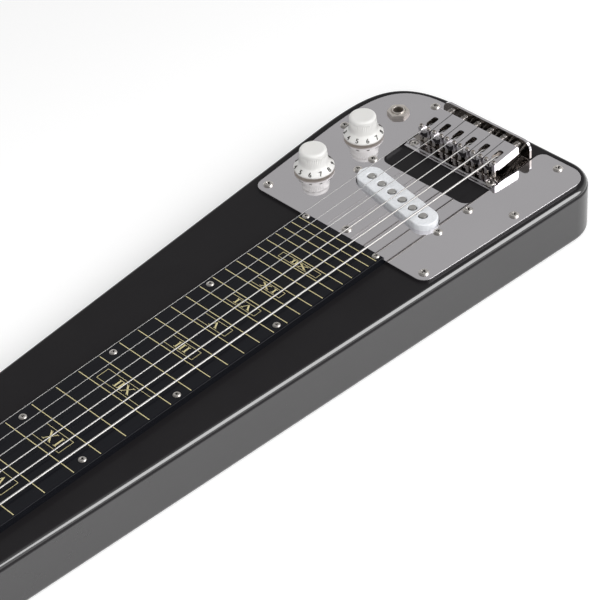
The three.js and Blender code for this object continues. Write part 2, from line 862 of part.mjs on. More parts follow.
function makePickupCover() {
  const height = coverTop - coverBottom;
  const outer = roundedSlab(
    stadium(coverLength, coverWidth), coverBottom - coverEdgeRound, height + coverEdgeRound, coverEdgeRound,
  );
  const inner = slab(
    stadium(coverLength - 2 * coverWall, coverWidth - 2 * coverWall),
    coverBottom - 2 * coverEdgeRound,
    height - coverWall + 2 * coverEdgeRound,
  );
  const under = block(
    -coverWidth, coverWidth, -coverLength, coverLength, coverBottom - 2 * coverEdgeRound, coverBottom,
  );
  return cut(outer, inner, under, ...poleHoles(poleRadius + runningGap, coverBottom, coverTop + cutOverrun));
}

function makePickupCoil() {
  const baseTop = coverBottom - restGap;
  const baseBottom = baseTop - pickupBaseThickness;
  const base = slab(stadium(pickupBaseLength, pickupBaseWidth), baseBottom, pickupBaseThickness);
  const coil = slab(stadium(coilLength, coilWidth), baseTop - restGap, coilHeight);
  const poles = poleHoles(poleRadius, poleBottom, coverTop + poleProud);
  const screwHoles = [1, -1].map((side) =>
    rod(
      pickupScrewRadius + runningGap,
      baseBottom - cutOverrun,
      baseTop + cutOverrun,
      0,
      (side * pickupScrewSpacing) / 2,
    ),
  );
  return cut(join(base, coil, ...poles), ...screwHoles);
}

const pickup = new THREE.Group();
pickup.rotation.z = pickupTurn;
pickup.position.x = -pickupAhead;
lapSteel.add(pickup);
add('pickup_cover', makePickupCover(), whitePlastic, pickup);
add('pickup_coil', makePickupCoil(), fibre, pickup);

const pickupScrewGeometry = makeScrew(
  pickupScrewHeadRadius, pickupScrewHeadHeight, pickupScrewRadius, pickupScrewLength,
);
pickupScrewPlaces.forEach(([x, y], index) => {
  const name = index === 0 ? 'pickup_screw_far' : 'pickup_screw_near';
  add(name, pickupScrewGeometry, steel).position.set(x, y, plateTop);
});

// Knob with the shaft that it is pressed on; heights are above the control plate
function makeKnob() {
  const recessTop = knobFloat + knobRecessHeight;
  return turned(
    [
      [0, -shaftDepth],
      [shaftRadius, -shaftDepth],
      [shaftRadius, recessTop],
      [knobRecessRadius, recessTop],
      [knobSkirtRadius - knobSkirtEdge, knobFloat],
      [knobSkirtRadius, knobFloat],
      [knobSkirtRadius, knobFloat + knobSkirtEdge],
      [(knobSkirtRadius + knobBarrelRadius) / 2, knobFloat + knobSkirtRise / 2],
      [knobBarrelRadius, knobFloat + knobSkirtRise],
      [knobTopRadius, knobFloat + knobHeight - knobTopRound],
      [knobTopRadius - knobTopRound / 3, knobFloat + knobHeight - knobTopRound / 3],
      [knobTopRadius - knobTopRound, knobFloat + knobHeight],
      [0, knobFloat + knobHeight],
    ],
    roundSides,
  );
}

function makePot() {
  const caseTop = -plateThickness - restGap;
  const caseBottom = caseTop - potCaseHeight;
  const bore = shaftRadius + runningGap;
  const turnedPart = turned(
    [
      [0, caseBottom],
      [potCaseRadius, caseBottom],
      [potCaseRadius, caseTop],
      [bushingRadius, caseTop],
      [bushingRadius, bushingRise],
      [bore, bushingRise],
      [bore, -shaftDepth - restGap],
      [0, -shaftDepth - restGap],
    ],
    roundSides,
  );
  const nut = cut(
    hexagon(potNutAcrossFlats, 0, potNutHeight),
    rod((bore + bushingRadius) / 2, -cutOverrun, potNutHeight + cutOverrun, 0, 0),
  );
  const lugs = [-1, 0, 1].map((place) =>
    block(
      place * potLugPitch - potLugWidth / 2,
      place * potLugPitch + potLugWidth / 2,
      -potCaseRadius - potLugLength / 2,
      -potCaseRadius + potLugLength / 2,
      caseTop - 2 * potLugThickness,
      caseTop - potLugThickness,
    ),
  );
  return join(turnedPart, nut, ...lugs);
}

const knobGeometry = makeKnob();
const potGeometry = makePot();
['volume', 'tone'].forEach((name, index) => {
  const place = [knobPlaces[index], controlRow, plateTop];
  add(`${name}_knob`, knobGeometry, whitePlastic).position.set(...place);
  add(`${name}_pot`, potGeometry, zinc).position.set(...place);
});

// Output jack with its frame and contact below the plate; heights are above the plate
function makeJack() {
  const flangeTop = -plateThickness - restGap;
  const flangeBottom = flangeTop - jackFlangeThickness;
  const sleeveBottom = flangeTop - jackSleeveDepth;
  const sleeve = turned(
    [
      [jackBoreRadius, sleeveBottom],
      [bushingRadius, sleeveBottom],
      [bushingRadius, flangeBottom],
      [jackFlangeRadius, flangeBottom],
      [jackFlangeRadius, flangeTop],
      [bushingRadius, flangeTop],
      [bushingRadius, jackRise],
      [jackBoreRadius, jackRise],
      [jackBoreRadius, sleeveBottom],
    ],
    roundSides,
  );
  const half = jackFrameWidth / 2;
  const frameBottom = -jackFrameDepth;
  const frame = block(
    jackFrameOffset, jackFrameOffset + jackFrameThickness, -half, half, frameBottom,
    flangeBottom + jackFrameThickness / 2,
  );
  const foot = block(
    jackFrameOffset - jackStackWidth / 2, jackFrameOffset + jackFrameThickness / 2, -half, half,
    frameBottom, frameBottom + jackFrameThickness,
  );
  const stack = block(
    jackFrameOffset, jackFrameOffset + jackFrameThickness + jackStackWidth / 2, -half / 2, half / 2,
    frameBottom, frameBottom + jackStackHeight,
  );
  return join(sleeve, frame, foot, stack);
}

const jackPlace = [jackBehind, jackSide, plateTop];
add('output_jack', makeJack(), zinc).position.set(...jackPlace);
add(
  'jack_nut',
  cut(
    hexagon(jackNutAcrossFlats, 0, jackNutHeight),
    rod(bushingRadius + runningGap, -cutOverrun, jackNutHeight + cutOverrun, 0, 0, roundSides),
  ),
  steel,
).position.set(...jackPlace);

// Tuners below the headstock: a plate with lugs, worm shafts with buttons, geared posts
const wormOffset = gearRadius + wormRadius + runningGap;

function makeTunerPlate(side) {
  const xs = postPlaces.filter(([, y]) => Math.sign(y) === side).map(([x]) => x);
  const first = Math.max(...xs) + wormOffset + tunerPlateNose;
  const last = Math.min(...xs) - tunerPlateOverhang;
  const middle = side * postSide;
  const half = tunerPlateWidth / 2;
  const bottom = headUnderside - tunerPlateThickness;
  const outline = roundedOutline([
    [last, middle - half, tunerPlateCornerRadius],
    [first, middle - half, tunerPlateCornerRadius],
    [first, middle + half, tunerPlateCornerRadius],
    [last, middle + half, tunerPlateCornerRadius],
  ]);
  const lugBottom = wormAxisHeight - lugDrop;
  const lugs = [];
  const lugHoles = [];
  xs.forEach((x) => {
    const wormX = x + wormOffset;
    [-1, 1].forEach((end) => {
      const outer = middle + end * half;
      const inner = outer - end * lugThickness;
      lugs.push(
        block(
          wormX - lugLength / 2, wormX + lugLength / 2, Math.min(inner, outer), Math.max(inner, outer),
          lugBottom, bottom + tunerPlateThickness / 2,
        ),
      );
    });
    lugHoles.push(
      rodAlongY(
        wormShaftRadius + runningGap, middle - half - cutOverrun, middle + half + cutOverrun,
        wormX, wormAxisHeight,
      ),
    );
  });
  return cut(
    join(slab(outline, bottom, tunerPlateThickness), ...lugs),
    ...lugHoles,
    ...xs.map((x) =>
      rod(postRadius + runningGap, bottom - cutOverrun, headUnderside + cutOverrun, x, middle),
    ),
  );
}

add('tuner_plate_treble', makeTunerPlate(1), chrome);
add('tuner_plate_bass', makeTunerPlate(-1), chrome);

// A worm shaft with its button, along +Y from the plate's inner lug
function makeTunerButton() {
  const inner = -tunerPlateWidth / 2 - lugThickness;
  const outer = tunerPlateWidth / 2 + buttonReach;
  const shaft = rodAlongY(wormShaftRadius, inner, outer + buttonNeckRadius, 0, 0);
  const worm = rodAlongY(wormRadius, -wormLength / 2, wormLength / 2, 0, 0);
  const button = turned(
    [
      [0, 0],
      [buttonNeckRadius, 0],
      [buttonNeckRadius, buttonLength / 5],
      [buttonHalfWidth, buttonLength / 2],
      [buttonHalfWidth, (buttonLength * 3) / 4],
      [buttonNeckRadius, buttonLength],
      [0, buttonLength],
    ],
    roundSides / 2,
  )
    .scale(1, buttonHalfThickness / buttonHalfWidth, 1)
    .rotateX(-Math.PI / 2)
    .translate(0, outer, 0);
  return join(shaft, worm, button);
}

function makePost() {
  const gearBottom = wormAxisHeight - gearThickness / 2;
  const gearTop = wormAxisHeight + gearThickness / 2;
  return turned(
    [
      [0, gearBottom - gearThickness / 2],
      [postRadius, gearBottom - gearThickness / 2],
      [postRadius, gearBottom],
      [gearRadius, gearBottom],
      [gearRadius, gearTop],
      [postRadius, gearTop],
      [postRadius, postTop - postRadius / 2],
      [postRadius * Math.SQRT1_2, postTop],
      [0, postTop],
    ],
    smallSides,
  );
}

const buttonGeometry = makeTunerButton();
const postGeometry = makePost();
postPlaces.forEach(([x, y], index) => {
  const button = add(`tuner_button_${index + 1}`, buttonGeometry, chrome);
  button.position.set(x + wormOffset, y, wormAxisHeight);
  if (y < 0) button.rotation.z = Math.PI;
  add(`tuner_post_${index + 1}`, postGeometry, chrome).position.set(x, y, 0);
});

export default lapSteel;
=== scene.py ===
import math

import bmesh
import bpy
from mathutils import Matrix, Vector
from mathutils.geometry import interpolate_bezier


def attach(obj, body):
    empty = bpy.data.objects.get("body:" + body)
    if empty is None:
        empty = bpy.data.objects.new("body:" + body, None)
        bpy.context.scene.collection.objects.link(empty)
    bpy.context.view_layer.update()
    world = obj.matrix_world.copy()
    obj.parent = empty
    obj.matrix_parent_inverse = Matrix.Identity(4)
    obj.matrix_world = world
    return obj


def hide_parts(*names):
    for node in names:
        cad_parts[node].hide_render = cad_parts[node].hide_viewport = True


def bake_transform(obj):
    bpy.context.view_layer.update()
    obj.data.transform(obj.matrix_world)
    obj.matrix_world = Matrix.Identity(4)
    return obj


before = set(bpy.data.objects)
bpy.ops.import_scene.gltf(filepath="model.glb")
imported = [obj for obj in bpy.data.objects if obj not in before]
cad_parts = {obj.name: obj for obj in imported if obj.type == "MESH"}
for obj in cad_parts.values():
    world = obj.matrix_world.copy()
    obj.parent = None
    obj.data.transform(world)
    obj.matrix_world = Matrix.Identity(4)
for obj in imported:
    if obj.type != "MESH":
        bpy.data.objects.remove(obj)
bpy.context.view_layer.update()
print("frame:", len(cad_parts), "CAD nodes")

# Sizes of pieces are in millimetres and turn into metres when a piece is added. The studio is in metres.


# Materials

class Wire:  # one socket of a node tree; sums with it add Math nodes
    def __init__(self, tree, socket=None):
        self.tree = tree
        self.socket = socket

    def node(self, kind, settings, inputs, output=0):
        made = self.tree.nodes.new(kind)
        for name, value in settings.items():
            if name == "stops":
                while len(made.color_ramp.elements) < len(value):
                    made.color_ramp.elements.new(1)
                for stop, (position, shade) in zip(made.color_ramp.elements, value):
                    stop.position = position
                    stop.color = (shade, shade, shade, 1)
            else:
                setattr(made, name, value)
        for name, value in inputs.items():
            if isinstance(value, Wire):
                self.tree.links.new(value.socket, made.inputs[name])
            else:
                made.inputs[name].default_value = value
        return Wire(self.tree, made.outputs[output])

    def sums(self, operation, first, second):
        return self.node("ShaderNodeMath", {"operation": operation}, {0: first, 1: second})

    def __add__(self, other):
        return self.sums("ADD", self, other)

    __radd__ = __add__

    def __rsub__(self, other):
        return self.sums("SUBTRACT", other, self)

    def __mul__(self, other):
        return self.sums("MULTIPLY", self, other)

    __rmul__ = __mul__


def noise(place, size, detail=2.0):  # size of a patch in mm
    return place.node("ShaderNodeTexNoise", {}, {"Vector": place, "Scale": 1000 / size, "Detail": detail})


def stretched(place, x, y, z):  # larger numbers make finer marks that way
    return place.node("ShaderNodeMapping", {}, {"Vector": place, "Scale": (x, y, z)})


def ramp(wire, *stops):
    return wire.node("ShaderNodeValToRGB", {"stops": stops}, {"Fac": wire})


def between(mask, low, high):
    return mask.node("ShaderNodeMix", {"data_type": "RGBA"}, {0: mask, 6: (*low, 1), 7: (*high, 1)}, 2)


def bump(height, depth):  # depth in mm
    return height.node("ShaderNodeBump", {}, {"Height": height, "Strength": 1.0, "Distance": depth / 1000})


def finish(name, fixed, look):
    material = bpy.data.materials.new(name)
    material.use_nodes = True
    tree = material.node_tree
    shader = tree.nodes["Principled BSDF"]
    for socket, value in fixed.items():
        shader.inputs[socket].default_value = value
    place = Wire(tree).node("ShaderNodeTexCoord", {}, {}, "Object")
    for socket, wire in look(place).items():
        tree.links.new(wire.socket, shader.inputs[socket])
    return material


def blackLacquerLook(place):  # satin on top and glossy round the sides, with a painted highlight line and a painted dark line along the rounded edge
    cloud = noise(place, 26, 3.0)
    along, height = (place.node("ShaderNodeSeparateXYZ", {}, {"Vector": place}, axis) for axis in "XZ")
    onHead = ramp(0 - along, (0.591, 0), (0.592, 1))
    share = (height + 0.006 * onHead) * 25  # of the thickness; the top of the head lies 6 mm lower
    # painted reflection: a full coat on the rounded edge paints a bright highlight line, and almost no coat
    # just below it paints a dark reflected line
    gloss = ramp(share, (0.872, 0.48), (0.892, 0.02), (0.926, 0.02), (0.94, 1), (0.98, 1), (0.993, 0.04))
    return {
        "Base Color": between(cloud, (0.0118, 0.0108, 0.012), (0.0158, 0.0148, 0.016)),
        "Roughness": 0.24 + 0.14 * noise(place, 3, 4.0),
        "Coat Weight": gloss,
        "Normal": bump(noise(place, 1.7, 1.0) + 0.15 * noise(place, 0.3, 1.0), 0.003),
    }


def chromeLook(place):
    haze = noise(place, 40, 3.0)
    hairlines = ramp(noise(stretched(place, 30, 1.2, 30), 3, 4.0), (0.62, 0), (0.74, 1))
    return {
        "Base Color": between(haze, (0.79, 0.765, 0.79), (0.84, 0.82, 0.84)),
        "Roughness": 0.035 + 0.05 * haze + 0.06 * hairlines,
        "Normal": bump(noise(place, 22, 1.0), 0.012),
    }


def woundStringLook(place):  # the wrap wire shows as fine ridges across the string
    ridge = place.node("ShaderNodeTexWave", {"bands_direction": "X"}, {"Vector": place, "Scale": 1000.0})
    outward = place.node("ShaderNodeNewGeometry", {}, {}, "Normal")
    upward = place.node("ShaderNodeVectorMath", {"operation": "DOT_PRODUCT"},
                        {0: outward, 1: (0, -0.5, 0.87)}, 1)
    paintedCrownLight = ramp(upward, (0.4, 0), (0.8, 1))  # painted light: the crown, facing up and to the near side, is painted bright and the flanks are painted dark
    return {
        "Base Color": between(paintedCrownLight * (0.75 + 0.25 * ridge), (0.18, 0.17, 0.16), (0.88, 0.86, 0.84)),
        "Roughness": 0.3 + 0.12 * noise(place, 3),
        "Normal": bump(ridge, 0.018),
    }


def cloudy(name, fixed, cloud, low, high, rough, spread, depth=0, grain=None, mottle=None, stretch=None):
    def look(place):  # each noise is (mm, detail); bumps and roughness without their own follow the cloud
        base = noise(stretched(place, *stretch) if stretch else place, *cloud)
        patches = noise(place, *mottle) if mottle else base
        sockets = {"Base Color": between(base, low, high), "Roughness": rough + spread * patches}
        if depth:
            sockets["Normal"] = bump(noise(place, *grain) if grain else base, depth)
        return sockets
    return finish(name, fixed, look)


metal = {"Metallic": 1.0}
blackLacquer = finish("blackLacquer", {"Specular IOR Level": 0.09, "Coat IOR": 2.3, "Coat Roughness": 0.06},
                      blackLacquerLook)
chrome = finish("mirrorChrome", metal, chromeLook)
woundString = finish("woundStringNickel", metal, woundStringLook)
plainString = cloudy("plainStringSteel", metal, (6, 3), (0.5, 0.495, 0.49), (0.64, 0.63, 0.62), 0.36, 0.12,
                     stretch=(1, 12, 12))
polishedSteel = cloudy("polishedSteel", metal, (2.2, 3), (0.62, 0.585, 0.56), (0.76, 0.73, 0.7), 0.14, 0.16,
                       0.006, (0.5, 2))
zinc = cloudy("tinnedZinc", metal, (3, 4), (0.6, 0.585, 0.56), (0.78, 0.765, 0.74), 0.24, 0.2,
              0.008, (0.6, 2))
brass = cloudy("brass", metal, (1.5, 3), (0.6, 0.44, 0.17), (0.78, 0.6, 0.28), 0.2, 0.2)
satinNickel = cloudy("satinNickel", metal, (2.5, 4), (0.82, 0.755, 0.69), (0.93, 0.88, 0.83), 0.3, 0.14,
                     0.006, (0.7, 2))
# painted shade: a darker chrome for the faces under, behind and inside the saddles
paintedShadeChrome = cloudy("paintedShadeChrome", metal, (4, 3), (0.3, 0.275, 0.255), (0.44, 0.41, 0.39), 0.1, 0.14)
screwFinish = [  # the head, and a painted shade in the recess where a driver fits
    cloudy("screwHeadSteel", metal, (1.2, 3), (0.7, 0.66, 0.62), (0.88, 0.85, 0.815), 0.27, 0.14,
           0.006, (0.5, 2)),
    cloudy("paintedRecessShade", metal, (0.6, 3), (0.03, 0.024, 0.02), (0.1, 0.085, 0.075), 0.45, 0.2),
]
printedBoard = cloudy("printedBoard", {"Specular IOR Level": 0.17}, (14, 4), (0.006, 0.0063, 0.0085),
                      (0.009, 0.0095, 0.0125), 0.07, 0.08, 0.003, mottle=(4, 3), stretch=(1, 9, 9))
goldPrint = cloudy("goldPrint", {"Metallic": 0.15}, (0.5, 3), (0.72, 0.62, 0.3), (0.86, 0.78, 0.46),
                   0.26, 0.2)
knobRow = (9, 3), (0.83, 0.82, 0.79), (0.87, 0.865, 0.85), 0.24, 0.14, 0.006, (0.9, 2), (1.5, 3)
knobPlastic = cloudy("knobPlastic", {"Coat Weight": 0.3, "Coat Roughness": 0.08}, *knobRow)
# painted glow: the knob's underside glows as if light came through the plastic
knobUndersidePaintedGlow = cloudy("knobUndersidePaintedGlow", {"Emission Color": (0.9, 0.8, 0.66, 1), "Emission Strength": 0.12},
                       *knobRow)
coverPlastic = cloudy("coverPlastic", {"Coat Weight": 0.3, "Coat Roughness": 0.06}, (12, 3),
                      (0.83, 0.85, 0.88), (0.875, 0.89, 0.915), 0.22, 0.12, 0.005, (1.2, 2), (2, 3))
blackInk = cloudy("blackInk", {}, (0.4, 2), (0.02, 0.02, 0.018), (0.06, 0.055, 0.045), 0.4, 0.2,
                  mottle=(0.6, 2))
bone = cloudy("polishedBone", {"Coat Weight": 0.2, "Coat Roughness": 0.15}, (5, 4), (0.66, 0.6, 0.48),
              (0.78, 0.73, 0.62), 0.3, 0.2, 0.01, stretch=(6, 1, 6))
blackFibre = cloudy("blackFibre", {}, (0.8, 4), (0.012, 0.011, 0.01), (0.035, 0.032, 0.03), 0.55, 0.25, 0.02)
print("materials:", len(bpy.data.materials))


# Shapes

mergeReach = 0.0005
sharpAngle = math.radians(38)


def rotated(degrees, axis):
    return Matrix.Rotation(math.radians(degrees), 4, axis)


def moved(x, y, z):
    return Matrix.Translation((x, y, z))


def placed(bm, matrix):
    bmesh.ops.transform(bm, matrix=matrix, verts=bm.verts)
    return bm


def copied(bm, matrix):
    return placed(bm.copy(), matrix)


def merge(bm, reach=mergeReach):
    bmesh.ops.remove_doubles(bm, verts=bm.verts, dist=reach)


def faceOutward(bm):
    bmesh.ops.recalc_face_normals(bm, faces=bm.faces)
    return bm


def extrude(bm, faces, height):
    grown = bmesh.ops.extrude_face_region(bm, geom=faces)["geom"]
    bmesh.ops.translate(bm, verts=[g for g in grown if isinstance(g, bmesh.types.BMVert)], vec=(0, 0, height))
    return [g for g in grown if isinstance(g, bmesh.types.BMFace)]


def linked(name, data):
    thing = bpy.data.objects.new(name, data)
    bpy.context.scene.collection.objects.link(thing)
    return thing


def stored(bm, name):
    mesh = bpy.data.meshes.new(name)
    bm.to_mesh(mesh)
    bm.free()
    return mesh


def paint(bm, test):  # faces that pass the test take the second material
    for face in bm.faces:
        face.material_index = int(test(face.normal, face.calc_center_median()))


def roundCorner(bm, vert, radius, steps):
    reach = radius * math.tan(vert.calc_edge_angle() / 2)
    bmesh.ops.bevel(bm, geom=[vert], offset=reach, offset_type="OFFSET", affect="VERTICES",
                    segments=steps, profile=0.5, material=-1)


def drawOutline(bm, corners, steps):  # corners are (x, y) or (x, y, radius)
    verts = [bm.verts.new((corner[0], corner[1], 0)) for corner in corners]
    bm.faces.new(verts)
    for vert, corner in zip(verts, corners):
        if len(corner) > 2:
            roundCorner(bm, vert, corner[2], steps)
    merge(bm, 2 * mergeReach)


def insetRim(bm, faces, radius, steps, direction):  # rounds a rim inwards, one narrow ring at a time
    for step in range(steps):
        start, end = (math.pi / 2 * k / steps for k in (step, step + 1))
        bmesh.ops.inset_region(bm, faces=faces, use_boundary=True, use_even_offset=True,
                               thickness=radius * (math.cos(start) - math.cos(end)))
        rise = direction * radius * (math.sin(end) - math.sin(start))
        bmesh.ops.translate(bm, verts=list({v for face in faces for v in face.verts}), vec=(0, 0, rise))


def slab(corners, bottom, top, holes=(), topRound=0, bottomRound=0, steps=4, cornerSteps=10):
    bm = bmesh.new()
    drawOutline(bm, corners, cornerSteps)
    for hole in holes:  # (x, y, radius), or a list of corners
        if isinstance(hole, tuple):
            bmesh.ops.create_circle(bm, segments=28, radius=hole[2], matrix=moved(hole[0], hole[1], 0))
        else:
            drawOutline(bm, hole, cornerSteps)
    if holes:
        bmesh.ops.delete(bm, geom=bm.faces[:], context="FACES_ONLY")
        bmesh.ops.triangle_fill(bm, use_beauty=True, edges=bm.edges[:])
    under = bm.faces[:]
    bmesh.ops.translate(bm, verts=bm.verts, vec=(0, 0, bottom + bottomRound))
    upper = extrude(bm, under, top - topRound - bottom - bottomRound)
    if topRound:
        insetRim(bm, upper, topRound, steps, 1)
    if bottomRound:
        insetRim(bm, [f for f in under if f.is_valid], bottomRound, steps, -1)
    return faceOutward(bm)


def sideways(corners, width, steps=4):  # an outline in X and Z with a width along Y
    return placed(slab(corners, -width / 2, width / 2, cornerSteps=steps), rotated(90, "X"))


def rectangle(xs, ys, corner):
    return [(xs[0], ys[0], corner), (xs[1], ys[0], corner), (xs[1], ys[1], corner), (xs[0], ys[1], corner)]


def stadium(length, width):
    end, side = length / 2, width / 2
    return rectangle((-side, side), (-end, end), side)


def block(low, high):
    bm = bmesh.new()
    bmesh.ops.create_cube(bm, size=1)
    size = [b - a for a, b in zip(low, high)]
    middle = [(a + b) / 2 for a, b in zip(low, high)]
    return placed(bm, moved(*middle) @ Matrix.Diagonal((*size, 1)))


def rod(radius, start, end, sides=32):
    start, end = Vector(start), Vector(end)
    bm = bmesh.new()
    bmesh.ops.create_cone(bm, cap_ends=True, segments=sides, radius1=radius, radius2=radius,
                          depth=(end - start).length)
    turn = (end - start).to_track_quat("Z", "Y").to_matrix().to_4x4()
    return placed(bm, Matrix.Translation((start + end) / 2) @ turn)


def uprights(radius, places, low, high):
    return [rod(radius, (x, y, low), (x, y, high)) for x, y in places]


def mirrored(x, y):
    return [(x, y), (x, -y)]


def lathe(profile, steps=48):  # profile of (radius, height) or (radius, height, rounding), about Z
    bm = bmesh.new()
    verts = [bm.verts.new((point[0], 0, point[1])) for point in profile]
    for pair in zip(verts, verts[1:]):
        bm.edges.new(pair)
    for vert, point in zip(verts, profile):
        if len(point) > 2:
            roundCorner(bm, vert, point[2], 4)
    bmesh.ops.spin(bm, geom=bm.verts[:] + bm.edges[:], cent=(0, 0, 0), axis=(0, 0, 1), dvec=(0, 0, 0),
                   angle=2 * math.pi, steps=steps, use_merge=True, use_duplicate=False)
    merge(bm, 2 * mergeReach)
    return faceOutward(bm)


def threadProfile(core, crest, bottom, top, pitch):
    turns = round((top - bottom) / pitch)
    points = []
    for turn in range(turns):
        start = bottom + (top - bottom) * turn / turns
        points += [(core, start), (crest, start + pitch / 2)]
    return points + [(core, top)]


def join(*parts):
    whole = bmesh.new()
    for part in parts:
        mesh = stored(part, "part")
        whole.from_mesh(mesh)
        bpy.data.meshes.remove(mesh)
    return whole


def carve(bm, *tools, operation="DIFFERENCE"):
    holders = [linked("carving", stored(shape, "carving")) for shape in (bm, *tools)]
    for tool in holders[1:]:
        modifier = holders[0].modifiers.new("carve", "BOOLEAN")
        modifier.operation = operation
        modifier.solver = "EXACT"
        modifier.object = tool
    result = meshOf(holders[0])
    for holder in holders[1:]:
        bpy.data.objects.remove(holder)
    bmesh.ops.dissolve_degenerate(result, edges=result.edges, dist=mergeReach)
    return result


def meshOf(shown):  # the finished mesh of an object, which is then removed
    evaluated = shown.evaluated_get(bpy.context.evaluated_depsgraph_get())
    result = bmesh.new()
    result.from_mesh(evaluated.to_mesh())
    evaluated.to_mesh_clear()
    bpy.data.objects.remove(shown)
    return result


def tube(points, radius, roundness=3):
    curve = bpy.data.curves.new("tube", "CURVE")
    curve.dimensions = "3D"
    curve.bevel_depth = radius
    curve.bevel_resolution = roundness
    curve.use_fill_caps = True
    spline = curve.splines.new("POLY")
    spline.points.add(len(points) - 1)
    for point, place in zip(spline.points, points):
        point.co = (*place, 1)
    bm = meshOf(linked("tube", curve))
    merge(bm)
    return faceOutward(bm)


def helix(radius, pitch, turns, steps):
    points = []
    for step in range(round(turns * steps) + 1):
        angle = 2 * math.pi * step / steps
        points.append((radius * math.cos(angle), radius * math.sin(angle), pitch * step / steps))
    return points


def letters(text, size, depth, weight):
    curve = bpy.data.curves.new("letters", "FONT")
    curve.body = text
    curve.size = size
    curve.extrude = depth / 2
    curve.offset = weight
    curve.align_x = "CENTER"
    curve.align_y = "CENTER"
    bm = meshOf(linked("letters", curve))
    merge(bm)
    return bm


def crossRecess(reach, width, top, depth):  # the tapered cross that a screwdriver fits
    arms = []
    for turn in (0, 90):
        arm = block((-reach, -width / 2, top - depth), (reach, width / 2, top + depth))
        low = [v for v in arm.verts if v.co.z < top]
        bmesh.ops.scale(arm, vec=(0.35, 0.6, 1), verts=low)
        arms.append(placed(arm, rotated(turn, "Z")))
    return arms


def addPiece(name, bm, body, look, replaces=None, slot=None, rounding=0):
    merge(bm)
    bmesh.ops.scale(bm, vec=(0.001, 0.001, 0.001), verts=bm.verts)
    mesh = stored(bm, name)
    for material in look if isinstance(look, list) else [look]:
        mesh.materials.append(material)
    mesh.shade_smooth()
    piece = linked(name, mesh)
    if rounding:
        bevel = piece.modifiers.new("edges", "BEVEL")
        bevel.width = rounding / 1000
        bevel.segments = 2
        bevel.limit_method = "ANGLE"
        bevel.angle_limit = sharpAngle
    else:
        mesh.set_sharp_from_angle(angle=sharpAngle)
    weighted = piece.modifiers.new("shading", "WEIGHTED_NORMAL")
    weighted.keep_sharp = True
    weighted.weight = 90
    if isinstance(body, str):
        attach(piece, body)
    else:
        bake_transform(piece)
    if replaces:
        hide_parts(replaces)


def addScrew(name, shape, place, degrees, body="guitar", node=None):
    addPiece(name, copied(shape, place @ rotated(degrees, "Z")), body, screwFinish, node, "screw_steel")


# Body

scaleLength = 571.5
plateTop = 42
wood = {
    "ends": (-591.5, 49.6), "corners": (12, 5, 24), "thickness": 40, "edge": 4.6,
    "far": (100.2, 44), "near": (-81.5, -41.1),  # the side at the bridge, and its change over the scale
    "curveAhead": -38.7, "curveSide": 39, "tailShare": 0.91, "sideShare": 0.65, "curveSteps": 40,
    "head": (-707.5, -571.5), "headHalf": (30.5, 34), "headLevels": (14, 34), "headCorner": 9,
    "headEdge": 2.5,
}
plate = {
    "ends": (-107, 41.3), "corners": (7.5, 7.5, 13), "bottom": 40, "farInset": 9.3, "nearInset": 5.4,
    "curveSide": 44.5, "cutoutFront": -33.1, "cutoutHalf": 38.4, "cutoutCorners": (6, 7, 3),
    "screwInset": 7.1, "screwRows": (-99.9, -20.8, 34.2), "screwHole": 1.9, "controlHole": 5.1,
    "edges": (0.22, 0.2),
}
pocket = {"x": (-90, 26), "y": (47, 79.5), "corner": 8, "levels": (8, 44), "pickup": (97, 22.4),
          "pickupLevels": (18, 44), "screwLevels": (27.7, 44), "post": 3.6, "postLevels": (10, 38)}


def farSideAt(x):
    return wood["far"][0] + wood["far"][1] * x / scaleLength


def nearSideAt(x):
    return wood["near"][0] + wood["near"][1] * x / scaleLength


def farCurve(tail, sideAt, curveSide):
    corner = Vector((tail, sideAt(tail), 0))
    start = Vector((tail, curveSide, 0))
    end = Vector((wood["curveAhead"], sideAt(wood["curveAhead"]), 0))
    handles = start.lerp(corner, wood["tailShare"]), end.lerp(corner, wood["sideShare"])
    return [(p.x, p.y) for p in interpolate_bezier(start, *handles, end, wood["curveSteps"])]


def wedgeOutline(size, farAt, nearAt, cutout=()):
    (head, tail), (farHead, nearHead, nearTail) = size["ends"], size["corners"]
    return [(head, farAt(head), farHead), (head, nearAt(head), nearHead), (tail, nearAt(tail), nearTail),
            *cutout, *farCurve(tail, farAt, size["curveSide"])]


def plateFar(x):
    return farSideAt(x) - plate["farInset"]


def plateNear(x):
    return nearSideAt(x) + plate["nearInset"]


def screwPair(x):  # beside the far and the near edge of the plate
    return (x, plateFar(x) - plate["screwInset"]), (x, plateNear(x) + plate["screwInset"])


front, side, tail = plate["screwRows"]
(frontFar, frontNear), (sideFar, sideNear) = screwPair(front), screwPair(side)
plateScrews = {
    "plate_screw_front_far": frontFar, "plate_screw_front_middle": (front, 4.5),
    "plate_screw_front_near": frontNear, "plate_screw_side_near": sideNear, "plate_screw_side_far": sideFar,
    "plate_screw_tail_near": (tail, -58), "plate_screw_tail_far": (tail, 49.6),
}
cutoutScrews = mirrored(-36, 41.8)
plateScrewPlaces = [*plateScrews.values(), *cutoutScrews]
postPlaces = [(-613.5, 21.5), (-648.5, 21.5), (-683.5, 21.5),
              (-683.5, -21.5), (-648.5, -21.5), (-613.5, -21.5)]
pickupPlace = moved(-57.5, 0, 0) @ rotated(-9.7, "Z")

